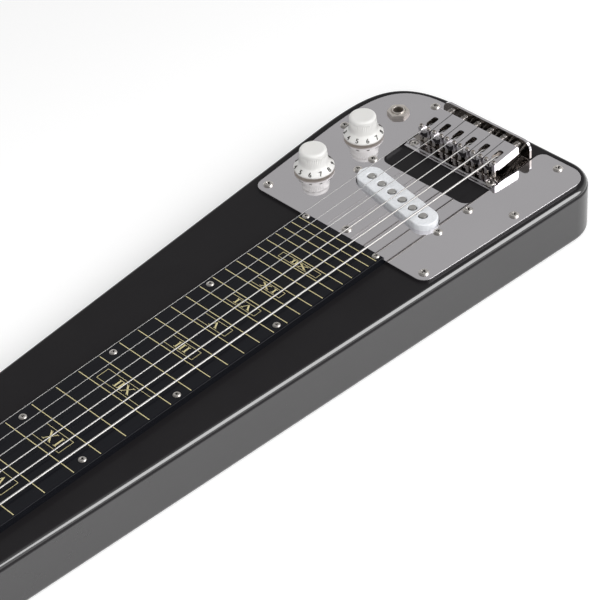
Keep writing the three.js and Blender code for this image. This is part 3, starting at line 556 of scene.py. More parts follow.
outline = wedgeOutline(wood, farSideAt, nearSideAt)
(headTip, headRoot), (tipHalf, rootHalf) = wood["head"], wood["headHalf"]
headOutline = [
    (headRoot, rootHalf), (headTip, tipHalf, wood["headCorner"]),
    (headTip, -tipHalf, wood["headCorner"]), (headRoot, -rootHalf),
]
edge, headEdge = wood["edge"], wood["headEdge"]
wedge = slab(outline, 0, wood["thickness"], topRound=edge, bottomRound=edge, steps=7, cornerSteps=16)
head = slab(headOutline, *wood["headLevels"], topRound=headEdge, bottomRound=headEdge, steps=5)
pockets = [
    slab(rectangle(pocket["x"], pocket["y"], pocket["corner"]), *pocket["levels"]),
    placed(slab(stadium(*pocket["pickup"]), *pocket["pickupLevels"]), pickupPlace),
    join(*uprights(plate["screwHole"], plateScrewPlaces, *pocket["screwLevels"]),
         *uprights(pocket["post"], postPlaces, *pocket["postLevels"])),
]
whole = carve(carve(wedge, head, operation="UNION"), *pockets)
addPiece("body", whole, "guitar", blackLacquer, "body", "lacquered_wood")
print("body")


# Fretboard with its print

board = {"tail": -107.5, "head": -571.5, "tailHalf": 35.27, "headHalf": 29.3, "bottom": 40, "top": 45,
         "edge": 0.5}
boardOutline = [(board["tail"], -board["tailHalf"]), (board["tail"], board["tailHalf"]),
                (board["head"], board["headHalf"]), (board["head"], -board["headHalf"])]
strip = slab(boardOutline, board["bottom"], board["top"], topRound=board["edge"], steps=3)
addPiece("fretboard", strip, "guitar", printedBoard, "fretboard", "printed_board")

ink = {
    "line": 0.52, "frame": 0.3, "thick": 1.1, "thin": 0.42, "serif": 0.4, "proud": 0.05, "frets": 28,
    "lineHalf": 35.35, "lineTaper": 0.0128, "letterShare": 0.35, "frameShare": 0.56,
    "advance": {"I": 2.9, "V": 6.4, "X": 8.7},
}
numerals = {  # fret at its bridge end: numeral, half width of its frame, spread of its letters
    3: ("III", 12.4, 1.3), 5: ("V", 12.4, 1), 7: ("VII", 12.8, 1.15), 9: ("IX", 12.1, 1.3),
    12: ("XII", 19.5, 1), 15: ("III", 12.6, 1.3), 17: ("V", 12.4, 1), 19: ("VII", 12.8, 1.15),
    21: ("IX", 12.4, 1.3), 24: ("XII", 16.6, 0.95),
}
strokes = {  # weight, then both ends as mm across and a height that runs from 0 to 1
    "I": [("thick", 0, 0, 0, 1), ("serif", -1.25, 0, 1.25, 0), ("serif", -1.25, 1, 1.25, 1)],
    "V": [("thick", -2.6, 1, 0, 0), ("thin", 2.6, 1, 0, 0), ("serif", -3.6, 1, -1.4, 1),
          ("serif", 1.6, 1, 3.4, 1)],
    "X": [("thick", -2.7, 1, 2.7, 0), ("thin", 2.7, 1, -2.7, 0), ("serif", -3.7, 1, -1.6, 1),
          ("serif", 1.7, 1, 3.6, 1), ("serif", -3.6, 0, -1.7, 0), ("serif", 1.6, 0, 3.7, 0)],
}


def fretAt(number):
    return -scaleLength * 2 ** (-number / 12)


def stroke(start, end, width):
    start, end = Vector((*start, 0)), Vector((*end, 0))
    bar = block((-0.5, -0.5, -0.5), (0.5, 0.5, 0.5))
    turn = Matrix.Rotation(math.atan2(end.y - start.y, end.x - start.x), 4, "Z")
    size = Matrix.Diagonal(((end - start).length, width, 2 * ink["proud"], 1))
    return placed(bar, Matrix.Translation((start + end) / 2 + Vector((0, 0, board["top"]))) @ turn @ size)


def numeralBars(fret):
    text, frameHalf, spread = numerals[fret]
    before, after = fretAt(fret - 1), fretAt(fret)
    cell, middle = after - before, (after + before) / 2
    tall, frameTall = ink["letterShare"] * cell, ink["frameShare"] * cell
    advances = [ink["advance"][letter] * spread for letter in text]
    bars = []
    place = -sum(advances) / 2
    for letter, advance in zip(text, advances):
        y = place + advance / 2
        for weight, x0, h0, x1, h1 in strokes[letter]:
            ends = [(middle - (h - 0.5) * tall, y + x) for x, h in ((x0, h0), (x1, h1))]
            bars.append(stroke(*ends, ink[weight]))
        place += advance
    corners = [(middle + a * frameTall / 2, b * frameHalf) for a, b in ((-1, -1), (-1, 1), (1, 1), (1, -1))]
    return bars + [stroke(a, b, ink["frame"]) for a, b in zip(corners, corners[1:] + corners[:1])]


lines = []
for number in range(1, ink["frets"] + 1):
    x = fretAt(number)
    half = ink["lineHalf"] + ink["lineTaper"] * x
    lines.append(stroke((x, -half), (x, half), ink["line"]))
addPiece("fret_lines", join(*lines), "guitar", goldPrint, slot="printed_board")
addPiece("fret_numerals", join(*[bar for fret in numerals for bar in numeralBars(fret)]), "guitar", goldPrint,
         slot="printed_board")

stringDiameters = [0.38, 0.46, 0.64, 0.84, 1.07, 1.38]
stringGap = 0.3
nut = {"from": -576.5, "to": -571.5, "half": 29.3, "bottom": 40, "top": 53.4, "shoulder": 52.6,
       "crown": 1.6, "floor": 51.8, "pitch": 9.45, "edge": 0.12, "overrun": 2}


def stringSide(index, pitch):
    return (2.5 - index) * pitch


nutBlank = sideways(
    [(nut["from"], nut["bottom"]), (nut["to"], nut["bottom"]), (nut["to"], nut["shoulder"], 0.6),
     (nut["to"] - nut["crown"], nut["top"], 0.8), (nut["from"], nut["top"] - nut["crown"], 1.2)],
    2 * nut["half"], 5)
nutSlots = []
for index, diameter in enumerate(stringDiameters):
    y, half = stringSide(index, nut["pitch"]), diameter / 2 + stringGap
    nutSlots.append(block((nut["from"] - nut["overrun"], y - half, nut["floor"]),
                          (nut["to"] + nut["overrun"], y + half, nut["top"] + nut["overrun"])))
addPiece("nut", carve(nutBlank, join(*nutSlots)), "guitar", bone, "nut", "bone", rounding=nut["edge"])
print("fretboard and nut")


# Screws

screwKinds = {  # radius and rise of the head, radius and length of the shank, reach and width of the recess
    "plate": (3.4, 1.4, 1.4, 14, 2.4, 1.4),
    "pickup": (3.1, 1.5, 1.25, 18, 2.0, 1.05),
    "board": (2.5, 1.15, 1.1, 2, 1.75, 1.0),
    "small": (1.6, 0.9, 0.8, 5, 0.95, 0.36),
}
boardScrews = [(-110.2, 30.7), (-196.4, 29.4), (-278, 28.3), (-350.2, 26.7), (-438, 26.2), (-524, 25.2)]


def screw(kind):
    head, rise, shank, length, reach, width = screwKinds[kind]
    thread = threadProfile(shank * 0.8, shank, shank - length, -1, 0.8)
    blank = lathe([(0, -length), *thread, (shank, -0.6), (shank, 0), (head, 0), (head, rise * 0.3, 0.25),
                   (head * 0.72, rise * 0.93, head * 0.3), (0, rise)], 32)
    bm = carve(blank, *crossRecess(reach, width, rise, rise * 0.75))
    # painted shade: the faces inside the cross recess take the dark second material
    paint(bm, lambda normal, middle: (normal.z < 0.5 or middle.z < rise * 0.6) and middle.z > 0.05
          and middle.xy.length < reach)
    return bm


plateScrew, pickupScrew, boardScrew, smallScrew = map(screw, screwKinds)
for name, (x, y) in plateScrews.items():
    addScrew(name, plateScrew, moved(x, y, plateTop), 37 * x + 13 * y, node=name)
for index, (x, y) in enumerate(cutoutScrews):
    addScrew(f"cutout_screw_{index + 1}", plateScrew, moved(x, y, plateTop), 20 + 50 * index)
sides = ((1, "far"), (-1, "near"))
for index, (x, y) in enumerate(boardScrews):
    for side, sideName in sides:
        addScrew(f"board_screw_{sideName}_{index + 1}", boardScrew, moved(x, side * y, board["top"]),
                 71 * index + 25 * side)
print("screws")


# Control plate

nearRound, frontRound, farRound = plate["cutoutCorners"]
front, tail, half = plate["cutoutFront"], plate["ends"][1], plate["cutoutHalf"]
cutout = [(tail, -half, nearRound), (front, -half, frontRound), (front, half, frontRound),
          (tail, half, farRound)]
plateOutline = wedgeOutline(plate, plateFar, plateNear, cutout)
pickupScrewPlaces = {"pickup_screw_far": (-50.34, 41.89), "pickup_screw_near": (-64.66, -41.89)}
pickupScrewHole = 1.55
controlPlaces = {"volume": -68, "tone": -20.6}
controlSide = 65
jackPlace = (12.5, 64)
opening = bmesh.new()
drawOutline(opening, stadium(76.2, 19.6), 14)
placed(opening, pickupPlace)
plateHoles = [
    *[(x, y, plate["screwHole"]) for x, y in plateScrewPlaces],
    *[(x, y, pickupScrewHole) for x, y in pickupScrewPlaces.values()],
    *[(x, controlSide, plate["controlHole"]) for x in controlPlaces.values()],
    (*jackPlace, plate["controlHole"]),
    [(loop.vert.co.x, loop.vert.co.y) for loop in opening.faces[:][0].loops],
]
opening.free()
sheet = slab(plateOutline, plate["bottom"], plateTop, plateHoles, *plate["edges"])
addPiece("control_plate", sheet, "guitar", chrome, "control_plate", "chrome_plate")
print("control plate")


# Bridge plate, saddles, springs and screws

bridge = {"front": -10.2, "rear": 31.5, "half": 37.8, "thickness": 1.8, "bottom": 40, "wallTop": 55.5,
          "corner": 6.3, "step": -7.4, "lip": 41.1, "sink": 1.4, "screw": (-4.5, 33.6),
          "screwLevels": (38, 44), "seat": 3.5, "edge": 0.3, "paintedShadeFrom": -1}
saddle = {
    "pitch": 11.4, "width": 10.9, "side": 1.5, "roof": 1.3, "ends": (-2.6, 23.5), "rounds": (4.4, 0.5),
    "levels": (44, 57), "slot": (4, 12.9), "slotHalf": 2.1, "slotCorner": 1.5, "slotFloor": 48,
    "groove": 1.1, "grooveFloor": 52.5, "notch": (21, 24, 46, 49.4), "edge": 0.22,
    "profile": [(-2.6, 48.3, 0.4), (2.4, 48.2), (3.1, 47), (23.5, 48.9), (23.5, 53), (21.9, 55.4, 0.6),
                (1.5, 53.7, 2), (-1.2, 53.1, 1.2), (-2.6, 51.4, 0.8)],
    "hollow": [(3.5, 44.9), (21.7, 44.9), (21.7, 53)], "roofline": [(20.6, 55.2), (3.5, 53.87)],
}
heightSize = {"place": (0.9, 3.2), "radius": 1.5, "levels": (42.1, 54.6), "socket": 0.95, "socketDepth": 1.6}
intonation = {"height": 51.2, "radius": 1.25, "tip": 17.5, "head": 31.8, "headRadius": 2.3, "headLength": 1.9,
              "bore": 1.55, "boreFrom": 14.7, "boreTo": 26, "recess": (1.3, 0.5)}
spring = {"radius": 1.95, "wire": 0.25, "turns": 5, "from": 24.05, "to": 29.15}
strings = {"crest": 52.5, "ballX": 33.8, "holeZ": 44, "hole": 1.15, "wallX": 29.4, "crestX": (6.3, -2.5),
           "wrapTop": 44.5, "wrapGap": 0.5, "postRadius": 3, "turns": 2.5, "steps": 26}

screwZ = intonation["height"]
inner = bridge["rear"] - bridge["thickness"]
floorLevel = bridge["bottom"] + bridge["thickness"]
stringLines = [stringSide(index, saddle["pitch"]) for index in range(6)]
bend = sideways(
    [(bridge["front"], bridge["bottom"]), (bridge["rear"], bridge["bottom"], 2.4),
     (bridge["rear"], bridge["wallTop"]), (inner, bridge["wallTop"]), (inner, floorLevel, 0.7),
     (bridge["step"], floorLevel, 0.3), (bridge["step"] - 0.5, bridge["lip"], 0.3),
     (bridge["front"], bridge["lip"], 0.3)], 2 * bridge["half"], 6)
corners = []
for edge in bend.edges:
    a, b = (v.co for v in edge.verts)
    atFront = max(a.x, b.x) < bridge["front"] + 0.01 and abs(a.z - b.z) > 1
    atTop = min(a.z, b.z) > bridge["wallTop"] - 0.01 and abs(a.x - b.x) > 1
    if (atFront or atTop) and abs(a.y - b.y) < 0.01:
        corners.append(edge)
bmesh.ops.bevel(bend, geom=corners, offset=bridge["corner"], offset_type="OFFSET", affect="EDGES", segments=8,
                profile=0.5, material=-1)
bores = []
for radius, height in ((intonation["bore"], screwZ), (strings["hole"], strings["holeZ"])):
    bores += [rod(radius, (inner - 2, y, height), (bridge["rear"] + 2, y, height)) for y in stringLines]
bridgeScrews = mirrored(*bridge["screw"])
bores += uprights(plate["screwHole"], bridgeScrews, *bridge["screwLevels"])
seatLevel = floorLevel - bridge["sink"]
bend = carve(bend, join(*bores), *uprights(bridge["seat"], bridgeScrews, seatLevel - 0.05, 44))
bmesh.ops.bisect_plane(bend, geom=bend.verts[:] + bend.edges[:] + bend.faces[:],
                       plane_co=(bridge["paintedShadeFrom"], 0, 0), plane_no=(1, 0, 0))
paint(bend, lambda normal, middle: bridge["paintedShadeFrom"] < middle.x < inner + 0.1 and normal.x < 0.9
      and middle.z > floorLevel - 0.1)  # painted shade below and behind the saddles
addPiece("bridge_plate", bend, "guitar", [chrome, paintedShadeChrome], "bridge_plate", "chrome_plate",
         rounding=bridge["edge"])
for (x, y), (side, sideName) in zip(bridgeScrews, sides):
    addScrew(f"bridge_screw_{sideName}", plateScrew, moved(x, y, seatLevel), 30 + 41 * side)

half, (front, rear), (frontRound, rearRound) = saddle["width"] / 2, saddle["ends"], saddle["rounds"]
saddleBottom, saddleTop = saddle["levels"]
planShape = slab([(front, -half, frontRound), (rear, -half, rearRound), (rear, half, rearRound),
                  (front, half, frontRound)], saddleBottom, saddleTop, cornerSteps=6)
channel = sideways([*saddle["hollow"], *[(x, z - saddle["roof"]) for x, z in saddle["roofline"]]],
                   saddle["width"] - 2 * saddle["side"], 1)
slotSides = -saddle["slotHalf"], saddle["slotHalf"]
slotCut = slab(rectangle(saddle["slot"], slotSides, saddle["slotCorner"]), saddle["slotFloor"], saddleTop,
               cornerSteps=6)
notchFrom, notchTo, notchBottom, notchTop = saddle["notch"]
groove = join(block((front - 1, -saddle["groove"], saddle["grooveFloor"]),
                    (saddle["slot"][0] + 1, saddle["groove"], saddleTop)),
              block((notchFrom, -saddle["groove"], notchBottom), (notchTo, saddle["groove"], notchTop)))
screwBore = rod(intonation["bore"], (intonation["boreFrom"], 0, screwZ), (intonation["boreTo"], 0, screwZ))
heightX, heightY = heightSize["place"]
screwHoles = uprights(heightSize["radius"] + 0.02, mirrored(heightX, heightY), saddleBottom, 54)
saddleShell = carve(sideways(saddle["profile"], saddle["width"], 6), planShape, operation="INTERSECT")
saddleShell = carve(saddleShell, channel, slotCut, groove, screwBore, *screwHoles)
paint(saddleShell, lambda normal, middle: normal.z < -0.9 or 3.4 < middle.x < 22 and normal.z < 0.5
      and abs(middle.y) < half - saddle["side"] + 0.1)  # painted shade on the underside and the inside

radius, (low, high) = heightSize["radius"], heightSize["levels"]
thread = threadProfile(radius - 0.03, radius, low + 0.6, high - 0.4, 0.5)
heightScrew = lathe([(0, low), (0.9, low), *thread, (radius - 0.3, high), (0, high)], 24)
heightScrew = carve(heightScrew, rod(heightSize["socket"], (0, 0, high - heightSize["socketDepth"]),
                                     (0, 0, high + 1), 6))

radius, headRadius = intonation["radius"], intonation["headRadius"]
thread = threadProfile(radius - 0.22, radius, 0.6, 13.6, 0.5)
headLevel = intonation["head"] - intonation["tip"]
headTop = headLevel + intonation["headLength"]
intonationScrew = lathe(
    [(0, 0), *thread, (radius, 13.7), (radius, headLevel), (headRadius, headLevel, 0.1),
     (headRadius, headLevel + 0.7, 0.25), (1.7, headLevel + 1.75, 0.7), (0, headTop)], 24)
intonationScrew = carve(intonationScrew, *crossRecess(*intonation["recess"], headTop, 1.3))
placed(intonationScrew, moved(intonation["tip"], 0, screwZ) @ rotated(90, "Y"))

springPitch = (spring["to"] - spring["from"]) / spring["turns"]
coil = placed(tube(helix(spring["radius"], springPitch, spring["turns"], 22), spring["wire"], 2),
              moved(spring["from"], 0, screwZ) @ rotated(90, "Y"))

for index, y in enumerate(stringLines):
    number = index + 1
    shift = moved(0, y, 0)
    node, screwNode, springNode = f"saddle_{number}", f"intonation_screw_{number}", f"saddle_spring_{number}"
    addPiece(node, copied(saddleShell, shift), node, [chrome, paintedShadeChrome], node, "chrome_plate",
             rounding=saddle["edge"])
    for side, sideName in sides:
        place = shift @ moved(heightX, side * heightY, 0) @ rotated(40 * number + 17 * side, "Z")
        addPiece(f"height_screw_{number}_{sideName}", copied(heightScrew, place), node, polishedSteel, node,
                 "screw_steel")
    addPiece(screwNode, copied(intonationScrew, shift), screwNode, polishedSteel, screwNode, "screw_steel")
    ends = [(x / 1000, y / 1000, screwZ / 1000) for x in (spring["from"], spring["to"])]
    addPiece(springNode, copied(coil, shift), (node, "guitar", *ends), polishedSteel, springNode,
             "screw_steel")
print("bridge")


# Strings

def stringPath(index):
    radius = stringDiameters[index] / 2
    bridgeY, nutY = stringLines[index], stringSide(index, nut["pitch"])
    crest, nutZ = strings["crest"] + stringGap + radius, nut["floor"] + stringGap + radius
    postX, postY = postPlaces[index]
    sign = math.copysign(1, postY)
    wrap = strings["postRadius"] + stringGap + radius
    toNut = Vector((nut["from"] - postX, nutY - postY))
    first = math.atan2(toNut.y, toNut.x) - sign * math.acos(wrap / toNut.length)
    path = [(strings["ballX"] - 1, bridgeY, strings["holeZ"]), (strings["wallX"], bridgeY, strings["holeZ"]),
            *[(x, bridgeY, crest) for x in strings["crestX"]],
            (nut["to"], nutY, nutZ), (nut["from"], nutY, nutZ)]
    steps = strings["steps"]
    for step in range(round(strings["turns"] * steps) + 1):
        angle = first - sign * 2 * math.pi * step / steps
        path.append((postX + wrap * math.cos(angle), postY + wrap * math.sin(angle),
                     strings["wrapTop"] - (2 * radius + strings["wrapGap"]) * step / steps))
    return path


ballEnd = lathe([(0, -1.7), (1.9, -1.7, 0.3), (1.9, -0.9, 0.1), (1.45, -0.6), (1.45, 0.6), (1.9, 0.9, 0.1),
                 (1.9, 1.7, 0.3), (0, 1.7)], 24)
for index, diameter in enumerate(stringDiameters):
    node, look = f"string_{index + 1}", woundString if index > 2 else plainString
    addPiece(node, tube(stringPath(index), diameter / 2), "guitar", look, node, "string_steel")
    place = moved(strings["ballX"], stringLines[index], strings["holeZ"])
    addPiece(f"ball_end_{index + 1}", copied(ballEnd, place), "guitar", brass, node, "string_steel")
print("strings")


# Pickup

cover = {"size": (75, 18.4), "bottom": 32, "top": 46.2, "wall": 1.3, "edge": 1, "pole": 2.55, "gap": 0.4,
         "pitch": 10.85, "poleLevels": (27.5, 46.45)}
base = {"size": (93, 15), "levels": (29.3, 31.7), "edge": 0.3, "screws": 42.5}
winding = {"size": (63, 11.5), "levels": (31.7, 42.4), "edge": 0.8}
poleSides = [stringSide(index, cover["pitch"]) for index in range(6)]
shell = slab(stadium(*cover["size"]), cover["bottom"], cover["top"],
             [(0, y, cover["pole"] + cover["gap"]) for y in poleSides], topRound=cover["edge"], steps=6,
             cornerSteps=14)
hollow = slab(stadium(*[side - 2 * cover["wall"] for side in cover["size"]]), cover["bottom"] - 2,
              cover["top"] - cover["wall"], cornerSteps=14)
baseHoles = [(x, y, pickupScrewHole) for x, y in mirrored(0, base["screws"])]
baseShape = slab(stadium(*base["size"]), *base["levels"], baseHoles, base["edge"], base["edge"])
windingShape = slab(stadium(*winding["size"]), *winding["levels"], topRound=winding["edge"])
radius, (low, high) = cover["pole"], cover["poleLevels"]
pole = lathe([(0, low), (radius, low, 0.2), (radius, high, 0.35), (0, high)], 32)
pickupParts = {  # shape, look, node, slot
    "pickup_cover": (carve(shell, hollow), coverPlastic, "pickup_cover", "white_plastic"),
    "pickup_base": (baseShape, blackFibre, "pickup_coil", "coil"),
    "pickup_coil": (windingShape, blackFibre, "pickup_coil", "coil"),
    "pickup_poles": (join(*[copied(pole, moved(0, y, 0)) for y in poleSides]), zinc, "pickup_coil", "coil"),
}
for name, (shape, *rest) in pickupParts.items():
    addPiece(name, placed(shape, pickupPlace), "pickup", *rest)
for name, (x, y) in pickupScrewPlaces.items():
    addScrew(name, pickupScrew, moved(x, y, plateTop), 3 * y, name, name)
print("pickup")


# Knobs, potentiometers and jack

knob = {
    "columns": 96, "ribs": (8.4, 13.3), "ribDepth": 0.42, "ribRadius": 9.5, "numberSize": 4.4,
    "numberAt": (12.47, 3.8), "numberDepth": 0.3, "numberWeight": 0.06, "slope": 45, "step": 33.3,
    "profile": [(0, 3.2), (12, 3, 0.4), (12.2, 1.3), (13.6, 1.3, 0.2), (13.6, 2.5, 0.3), (11.3, 4.75, 1.6),
                (9.9, 6.2, 2.2), (9.75, 8.1), (9.73, 8.5), (9.3, 13.2), (9.28, 13.4), (9.1, 16.7, 1.8),
                (7, 16.7), (0, 16.55)],
    "shaft": [(0, -8.5), (3, -8.5, 0.4), (3, 5), (0, 5)],
}
numberedTurn = {"volume": (6.5, 228.8), "tone": (5.5, 220.1)}  # the number that an angle faces
potentiometer = lathe([(0, -10.8), (12, -10.8, 0.8), (12, -2.3, 0.5), (4.7, -2.3),
                       *threadProfile(4.5, 4.7, -2.2, 2.4, 0.6), (4.4, 2.6), (3.3, 2.6), (3.3, -8.8),
                       (0, -8.8)])
nuts = {"pot": (12.6, 2, 4.75), "jack": (13.4, 2.5, 5)}  # across the flats, height, bore
knobShell = lathe(knob["profile"], knob["columns"])
ribs = []
for vert in knobShell.verts:
    column = round(math.atan2(vert.co.y, vert.co.x) / (2 * math.pi / knob["columns"]))
    if column % 2 and knob["ribs"][0] < vert.co.z < knob["ribs"][1] and vert.co.xy.length > 9:
        ribs.append(vert)
paint(knobShell, lambda normal, middle: normal.z < -0.3)  # the underside gets a painted glow that stands in for light coming through the plastic
shrink = 1 - knob["ribDepth"] / knob["ribRadius"]
bmesh.ops.scale(knobShell, vec=(shrink, shrink, 1), verts=ribs)
shaft = lathe(knob["shaft"], 32)


def hexNut(across, height, bore):
    bm = bmesh.new()
    corner = across / math.sqrt(3)
    bmesh.ops.create_cone(bm, cap_ends=True, segments=6, radius1=corner, radius2=corner, depth=height,
                          matrix=moved(0, 0, height / 2))
    crown = lathe([(0, 0), (across * 0.56, 0), (across * 0.58, 0.25), (across * 0.58, height - 0.45),
                   (across * 0.5, height), (0, height)], 48)
    return carve(carve(bm, crown, operation="INTERSECT"), rod(bore, (0, 0, -1), (0, 0, height + 1)))


for name, x in controlPlaces.items():
    place = moved(x, controlSide, plateTop)
    body = f"{name}_knob"
    addPiece(body, copied(knobShell, place), body, [knobPlastic, knobUndersidePaintedGlow], body, "white_plastic")
    addPiece(f"{name}_shaft", copied(shaft, place), body, zinc, body, "white_plastic")
    midNumber, midAngle = numberedTurn[name]
    reach, rise = knob["numberAt"]
    figures = []
    for number in range(1, 11):
        angle = midAngle + (number - midNumber) * knob["step"]
        stand = rotated(angle, "Z") @ moved(reach, 0, rise) @ rotated(90, "Z") @ rotated(knob["slope"], "X")
        figure = letters(str(number), knob["numberSize"], knob["numberDepth"], knob["numberWeight"])
        figures.append(placed(figure, place @ stand))
    addPiece(f"{name}_numbers", join(*figures), body, blackInk, slot="white_plastic")
    pot = f"{name}_pot"
    addPiece(pot, copied(potentiometer, place), "guitar", zinc, pot, "zinc")
    addPiece(f"{name}_pot_nut", placed(hexNut(*nuts["pot"]), place), "guitar", satinNickel, pot, "zinc")
    lugs = join(*[block((5 * k - 1.2, -15, -4.3), (5 * k + 1.2, -11.5, -3.3)) for k in (-1, 0, 1)])
    addPiece(f"{name}_pot_lugs", placed(lugs, place), "guitar", brass, pot, "zinc", rounding=0.2)

place = moved(*jackPlace, plateTop)
sleeve = lathe([(3.4, -9.3), (4.7, -9.3), (4.7, -3.8), (7.2, -3.8), (7.2, -2.3, 0.3), (4.7, -2.3),
                *threadProfile(4.5, 4.7, -2.2, 2.6, 0.6), (4.7, 3.3, 0.5), (3.4, 3.3, 0.5), (3.4, -9.3)], 48)
arm = sideways([(6.2, -3.2), (6.2, -23.8, 0.5), (3.7, -23.8), (3.7, -25), (7.4, -25, 1.2), (7.4, -3.2)], 8, 4)
jackParts = {  # shape, look, rounding
    "output_jack": (sleeve, satinNickel, 0), "jack_frame": (arm, zinc, 0.2),
    "jack_insulator": (block((7.4, -4, -24.8), (9.9, 4, -18)), blackFibre, 0.3),
}
for name, (shape, look, rounding) in jackParts.items():
    addPiece(name, placed(shape, place), "guitar", look, "output_jack", "zinc", rounding)
jackNut = placed(hexNut(*nuts["jack"]), place @ rotated(42, "Z"))
addPiece("jack_nut", jackNut, "guitar", satinNickel, "jack_nut", "screw_steel")
print("controls")


# Tuners

tuner = {
    "wormAhead": 8.3, "axisZ": 8.6, "plateLevels": (12.8, 14), "plateX": (-692.5, -599.7), "plateHalf": 7.5,
    "corner": 4, "side": 21.5, "lug": 1.5, "lugHalf": 3.75, "lugLevels": (6.2, 13.4), "axleHole": 1.9,
    "postHole": 3.3, "screwHole": 0.95, "reach": 12.5, "flatness": (1, 2 / 3, 1, 1), "stringHole": 0.85,
    "screws": [(-628, 0), (-663, 0), (-689.9, 5)],
    "post": [(0, 5.6), (3, 5.6, 0.3), (3, 38.6), (3, 38.8), (3, 46, 0.6), (2.2, 47.5, 0.5), (0, 47.5)],
    "bushing": [(3.3, 29), (3.55, 29), (3.55, 34.02), (5.4, 34.02), (5.4, 34.6, 0.3), (4.6, 35.4, 0.3),
                (3.3, 35.4), (3.3, 29)],
    "axle": [(0, -9), (1.6, -9, 0.3), (1.6, 20.5), (0, 20.5)],
    "button": [(0, 0), (2.8, 0, 0.3), (2.8, 2.6, 1.5), (7.5, 8.6, 4), (7.5, 15, 3.6), (3.4, 19, 1.5),
               (0, 19)],
}
wheel = {"steps": 56, "radius": 6, "root": 0.84, "thickness": 3, "bottom": 7.1}
wormSize = {"core": 1.5, "half": 3.2, "radius": 1.75, "pitch": 1.6, "turns": 4, "wire": 0.28}
gear = bmesh.new()
bmesh.ops.create_circle(gear, cap_ends=True, segments=wheel["steps"], radius=wheel["radius"])
step = 2 * math.pi / wheel["steps"]
roots = [v for v in gear.verts if round(math.atan2(v.co.y, v.co.x) / step) % 4 in (1, 2)]
bmesh.ops.scale(gear, vec=(wheel["root"], wheel["root"], 1), verts=roots)
extrude(gear, gear.faces[:], wheel["thickness"])
placed(faceOutward(gear), moved(0, 0, wheel["bottom"]))

post, bushing, button = (lathe(tuner[part], 40) for part in ("post", "bushing", "button"))
axle = lathe(tuner["axle"], 32)
placed(button, moved(0, 0, tuner["plateHalf"] + tuner["reach"]) @ Matrix.Diagonal(tuner["flatness"]))
wormHalf = wormSize["half"]
wormThread = tube(helix(wormSize["radius"], wormSize["pitch"], wormSize["turns"], 20), wormSize["wire"], 2)
worm = join(rod(wormSize["core"], (0, 0, -wormHalf), (0, 0, wormHalf)),
            placed(wormThread, moved(0, 0, -wormHalf)))

lugHalf, (lugBottom, lugTop) = tuner["lugHalf"], tuner["lugLevels"]
for side, sideName in ((1, "treble"), (-1, "bass")):
    middle, half = side * tuner["side"], tuner["plateHalf"]
    xs = [x for x, y in postPlaces if y * side > 0]
    stripHoles = [(x, middle, tuner["postHole"]) for x in xs]
    stripHoles += [(x, middle + dy, tuner["screwHole"]) for x, dy in tuner["screws"]]
    strip = slab(rectangle(tuner["plateX"], (middle - half, middle + half), tuner["corner"]),
                 *tuner["plateLevels"], stripHoles)
    ears, earHoles = [], []
    for x in xs:
        wormX = x + tuner["wormAhead"]
        for end in (-1, 1):
            outer = middle + end * half
            a, b = sorted((outer, outer - end * tuner["lug"]))
            ears.append(block((wormX - lugHalf, a, lugBottom), (wormX + lugHalf, b, lugTop)))
        earHoles.append(rod(tuner["axleHole"], (wormX, middle - 10, tuner["axisZ"]),
                            (wormX, middle + 10, tuner["axisZ"])))
    strip = carve(carve(strip, join(*ears), operation="UNION"), join(*earHoles))
    node = f"tuner_plate_{sideName}"
    addPiece(node, strip, "guitar", chrome, node, "chrome_plate", rounding=0.25)
    for index, (x, dy) in enumerate(tuner["screws"]):
        place = moved(x, middle + dy, tuner["plateLevels"][0]) @ rotated(180, "X")
        addScrew(f"tuner_screw_{sideName}_{index + 1}", smallScrew, place, 60 * index)

turning = {"worm": (worm, polishedSteel), "axle": (axle, polishedSteel), "button": (button, chrome)}
for index, (x, y) in enumerate(postPlaces):
    number = index + 1
    place = moved(x, y, 0)
    endX, endY, endZ = stringPath(index)[-1]
    endAngle = math.degrees(math.atan2(endY - y, endX - x))
    stringHole = placed(rod(tuner["stringHole"], (-5, 0, endZ), (5, 0, endZ), 20), rotated(endAngle, "Z"))
    node = f"tuner_post_{number}"
    addPiece(node, placed(carve(post.copy(), stringHole), place), node, chrome, node, "chrome_plate")
    addPiece(f"tuner_gear_{number}", copied(gear, place), node, brass, node, "chrome_plate", rounding=0.15)
    addPiece(f"tuner_bushing_{number}", copied(bushing, place), "guitar", chrome, slot="chrome_plate")
    turn = moved(x + tuner["wormAhead"], y, tuner["axisZ"])
    turn = turn @ rotated(0 if y > 0 else 180, "Z") @ rotated(-90, "X")
    node = f"tuner_button_{number}"
    for kind, (shape, look) in turning.items():
        addPiece(f"tuner_{kind}_{number}", copied(shape, turn), node, look, node, "chrome_plate")
print("tuners")


# Floor, light and camera

studio = {
    "zenith": 0.42, "horizon": 0.62, "glow": 0.26, "farGlow": 0.75, "middle": (-0.33, 0, 0), "floorHalf": 6,
    "floorLevel": -0.0004,
}
lamps = {  # place, target, width, height, watts
    "nearSoftBox": ((0.5, -1.11, 0.94), (-0.25, -0.06, 0.04), 1.3, 0.95, 11),
    "frontSoftBox": ((-0.95, -1.0, 1.2), (-0.2, 0.0, 0.0), 1.3, 1.1, 20),
}
view = {
    "lens": 129.878, "sensor": 36, "clip": (0.01, 50), "place": (-0.84052, -0.77036, 0.91459),
    "axes": ((0.70312134, -0.70798532, -0.06616015), (0.50096, 0.42718, 0.75270),
             (-0.50464036, -0.56238475, 0.65502786)),  # its right, up and back
}
scene = bpy.context.scene
scene.view_settings.view_transform = "Standard"


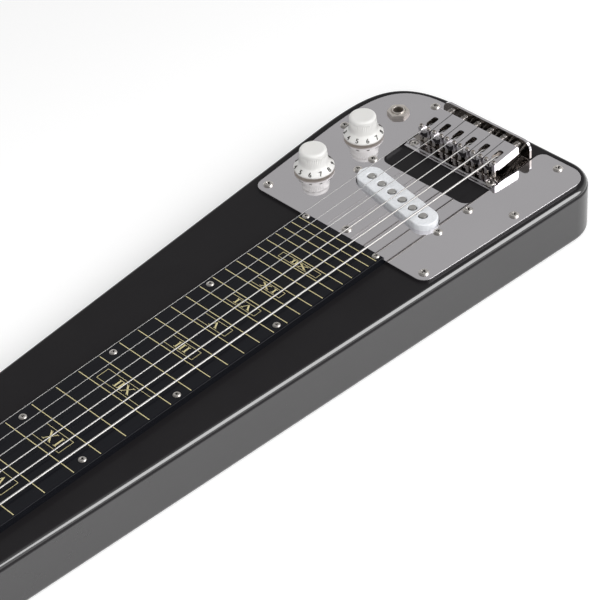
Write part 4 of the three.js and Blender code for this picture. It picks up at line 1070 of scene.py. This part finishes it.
def paleFloorLook(place):  # far from the lamps the floor glows more, so that it stays white
    away = place.node("ShaderNodeVectorMath", {"operation": "DISTANCE"}, {0: place, 1: studio["middle"]}, 1)
    return {
        "Base Color": between(noise(place, 60), (0.925, 0.925, 0.925), (0.935, 0.935, 0.935)),
        "Emission Color": ramp(away * 0.25, (0.17, studio["glow"]), (0.75, studio["farGlow"])),
    }


floorFinish = finish("paleFloor", {"Roughness": 0.9, "Specular IOR Level": 0.0, "Emission Strength": 1.0},
                     paleFloorLook)
square = bmesh.new()
bmesh.ops.create_grid(square, x_segments=1, y_segments=1, size=studio["floorHalf"])
ground = linked("floor", stored(square, "floor"))
ground.data.materials.append(floorFinish)
ground.location.z = studio["floorLevel"]

world = bpy.data.worlds.new("studio")
world.use_nodes = True
scene.world = world
sky = Wire(world.node_tree)
direction = sky.node("ShaderNodeTexCoord", {}, {}, "Generated")
along, height = (sky.node("ShaderNodeSeparateXYZ", {}, {"Vector": direction}, axis) for axis in "XZ")
shade = ramp(height, (0.05, studio["horizon"]), (0.5, studio["zenith"]))
shade = shade * ramp(along + 0.5, (0.1, 0.45), (0.6, 1))
seen = sky.node("ShaderNodeLightPath", {}, {}, "Is Camera Ray")
colour = sky.node("ShaderNodeMix", {"data_type": "RGBA"}, {0: seen, 6: shade, 7: (1, 1, 1, 1)}, 2)
world.node_tree.links.new(colour.socket, world.node_tree.nodes["Background"].inputs["Color"])

for name, (place, target, width, tall, watts) in lamps.items():
    light = bpy.data.lights.new(name, "AREA")
    light.shape = "RECTANGLE"
    light.size, light.size_y, light.energy = width, tall, watts
    lamp = linked(name, light)
    lamp.location = place
    lamp.visible_glossy = name != "frontSoftBox"
    lamp.rotation_mode = "QUATERNION"
    lamp.rotation_quaternion = (Vector(target) - Vector(place)).to_track_quat("-Z", "Y")

cameraData = bpy.data.cameras.new("camera")
cameraData.lens = view["lens"]
cameraData.sensor_width = view["sensor"]
cameraData.clip_start, cameraData.clip_end = view["clip"]
camera = linked("camera", cameraData)
camera.matrix_world = Matrix.Translation(view["place"]) @ Matrix(view["axes"]).transposed().to_4x4()
scene.camera = camera
print("floor, light and camera")
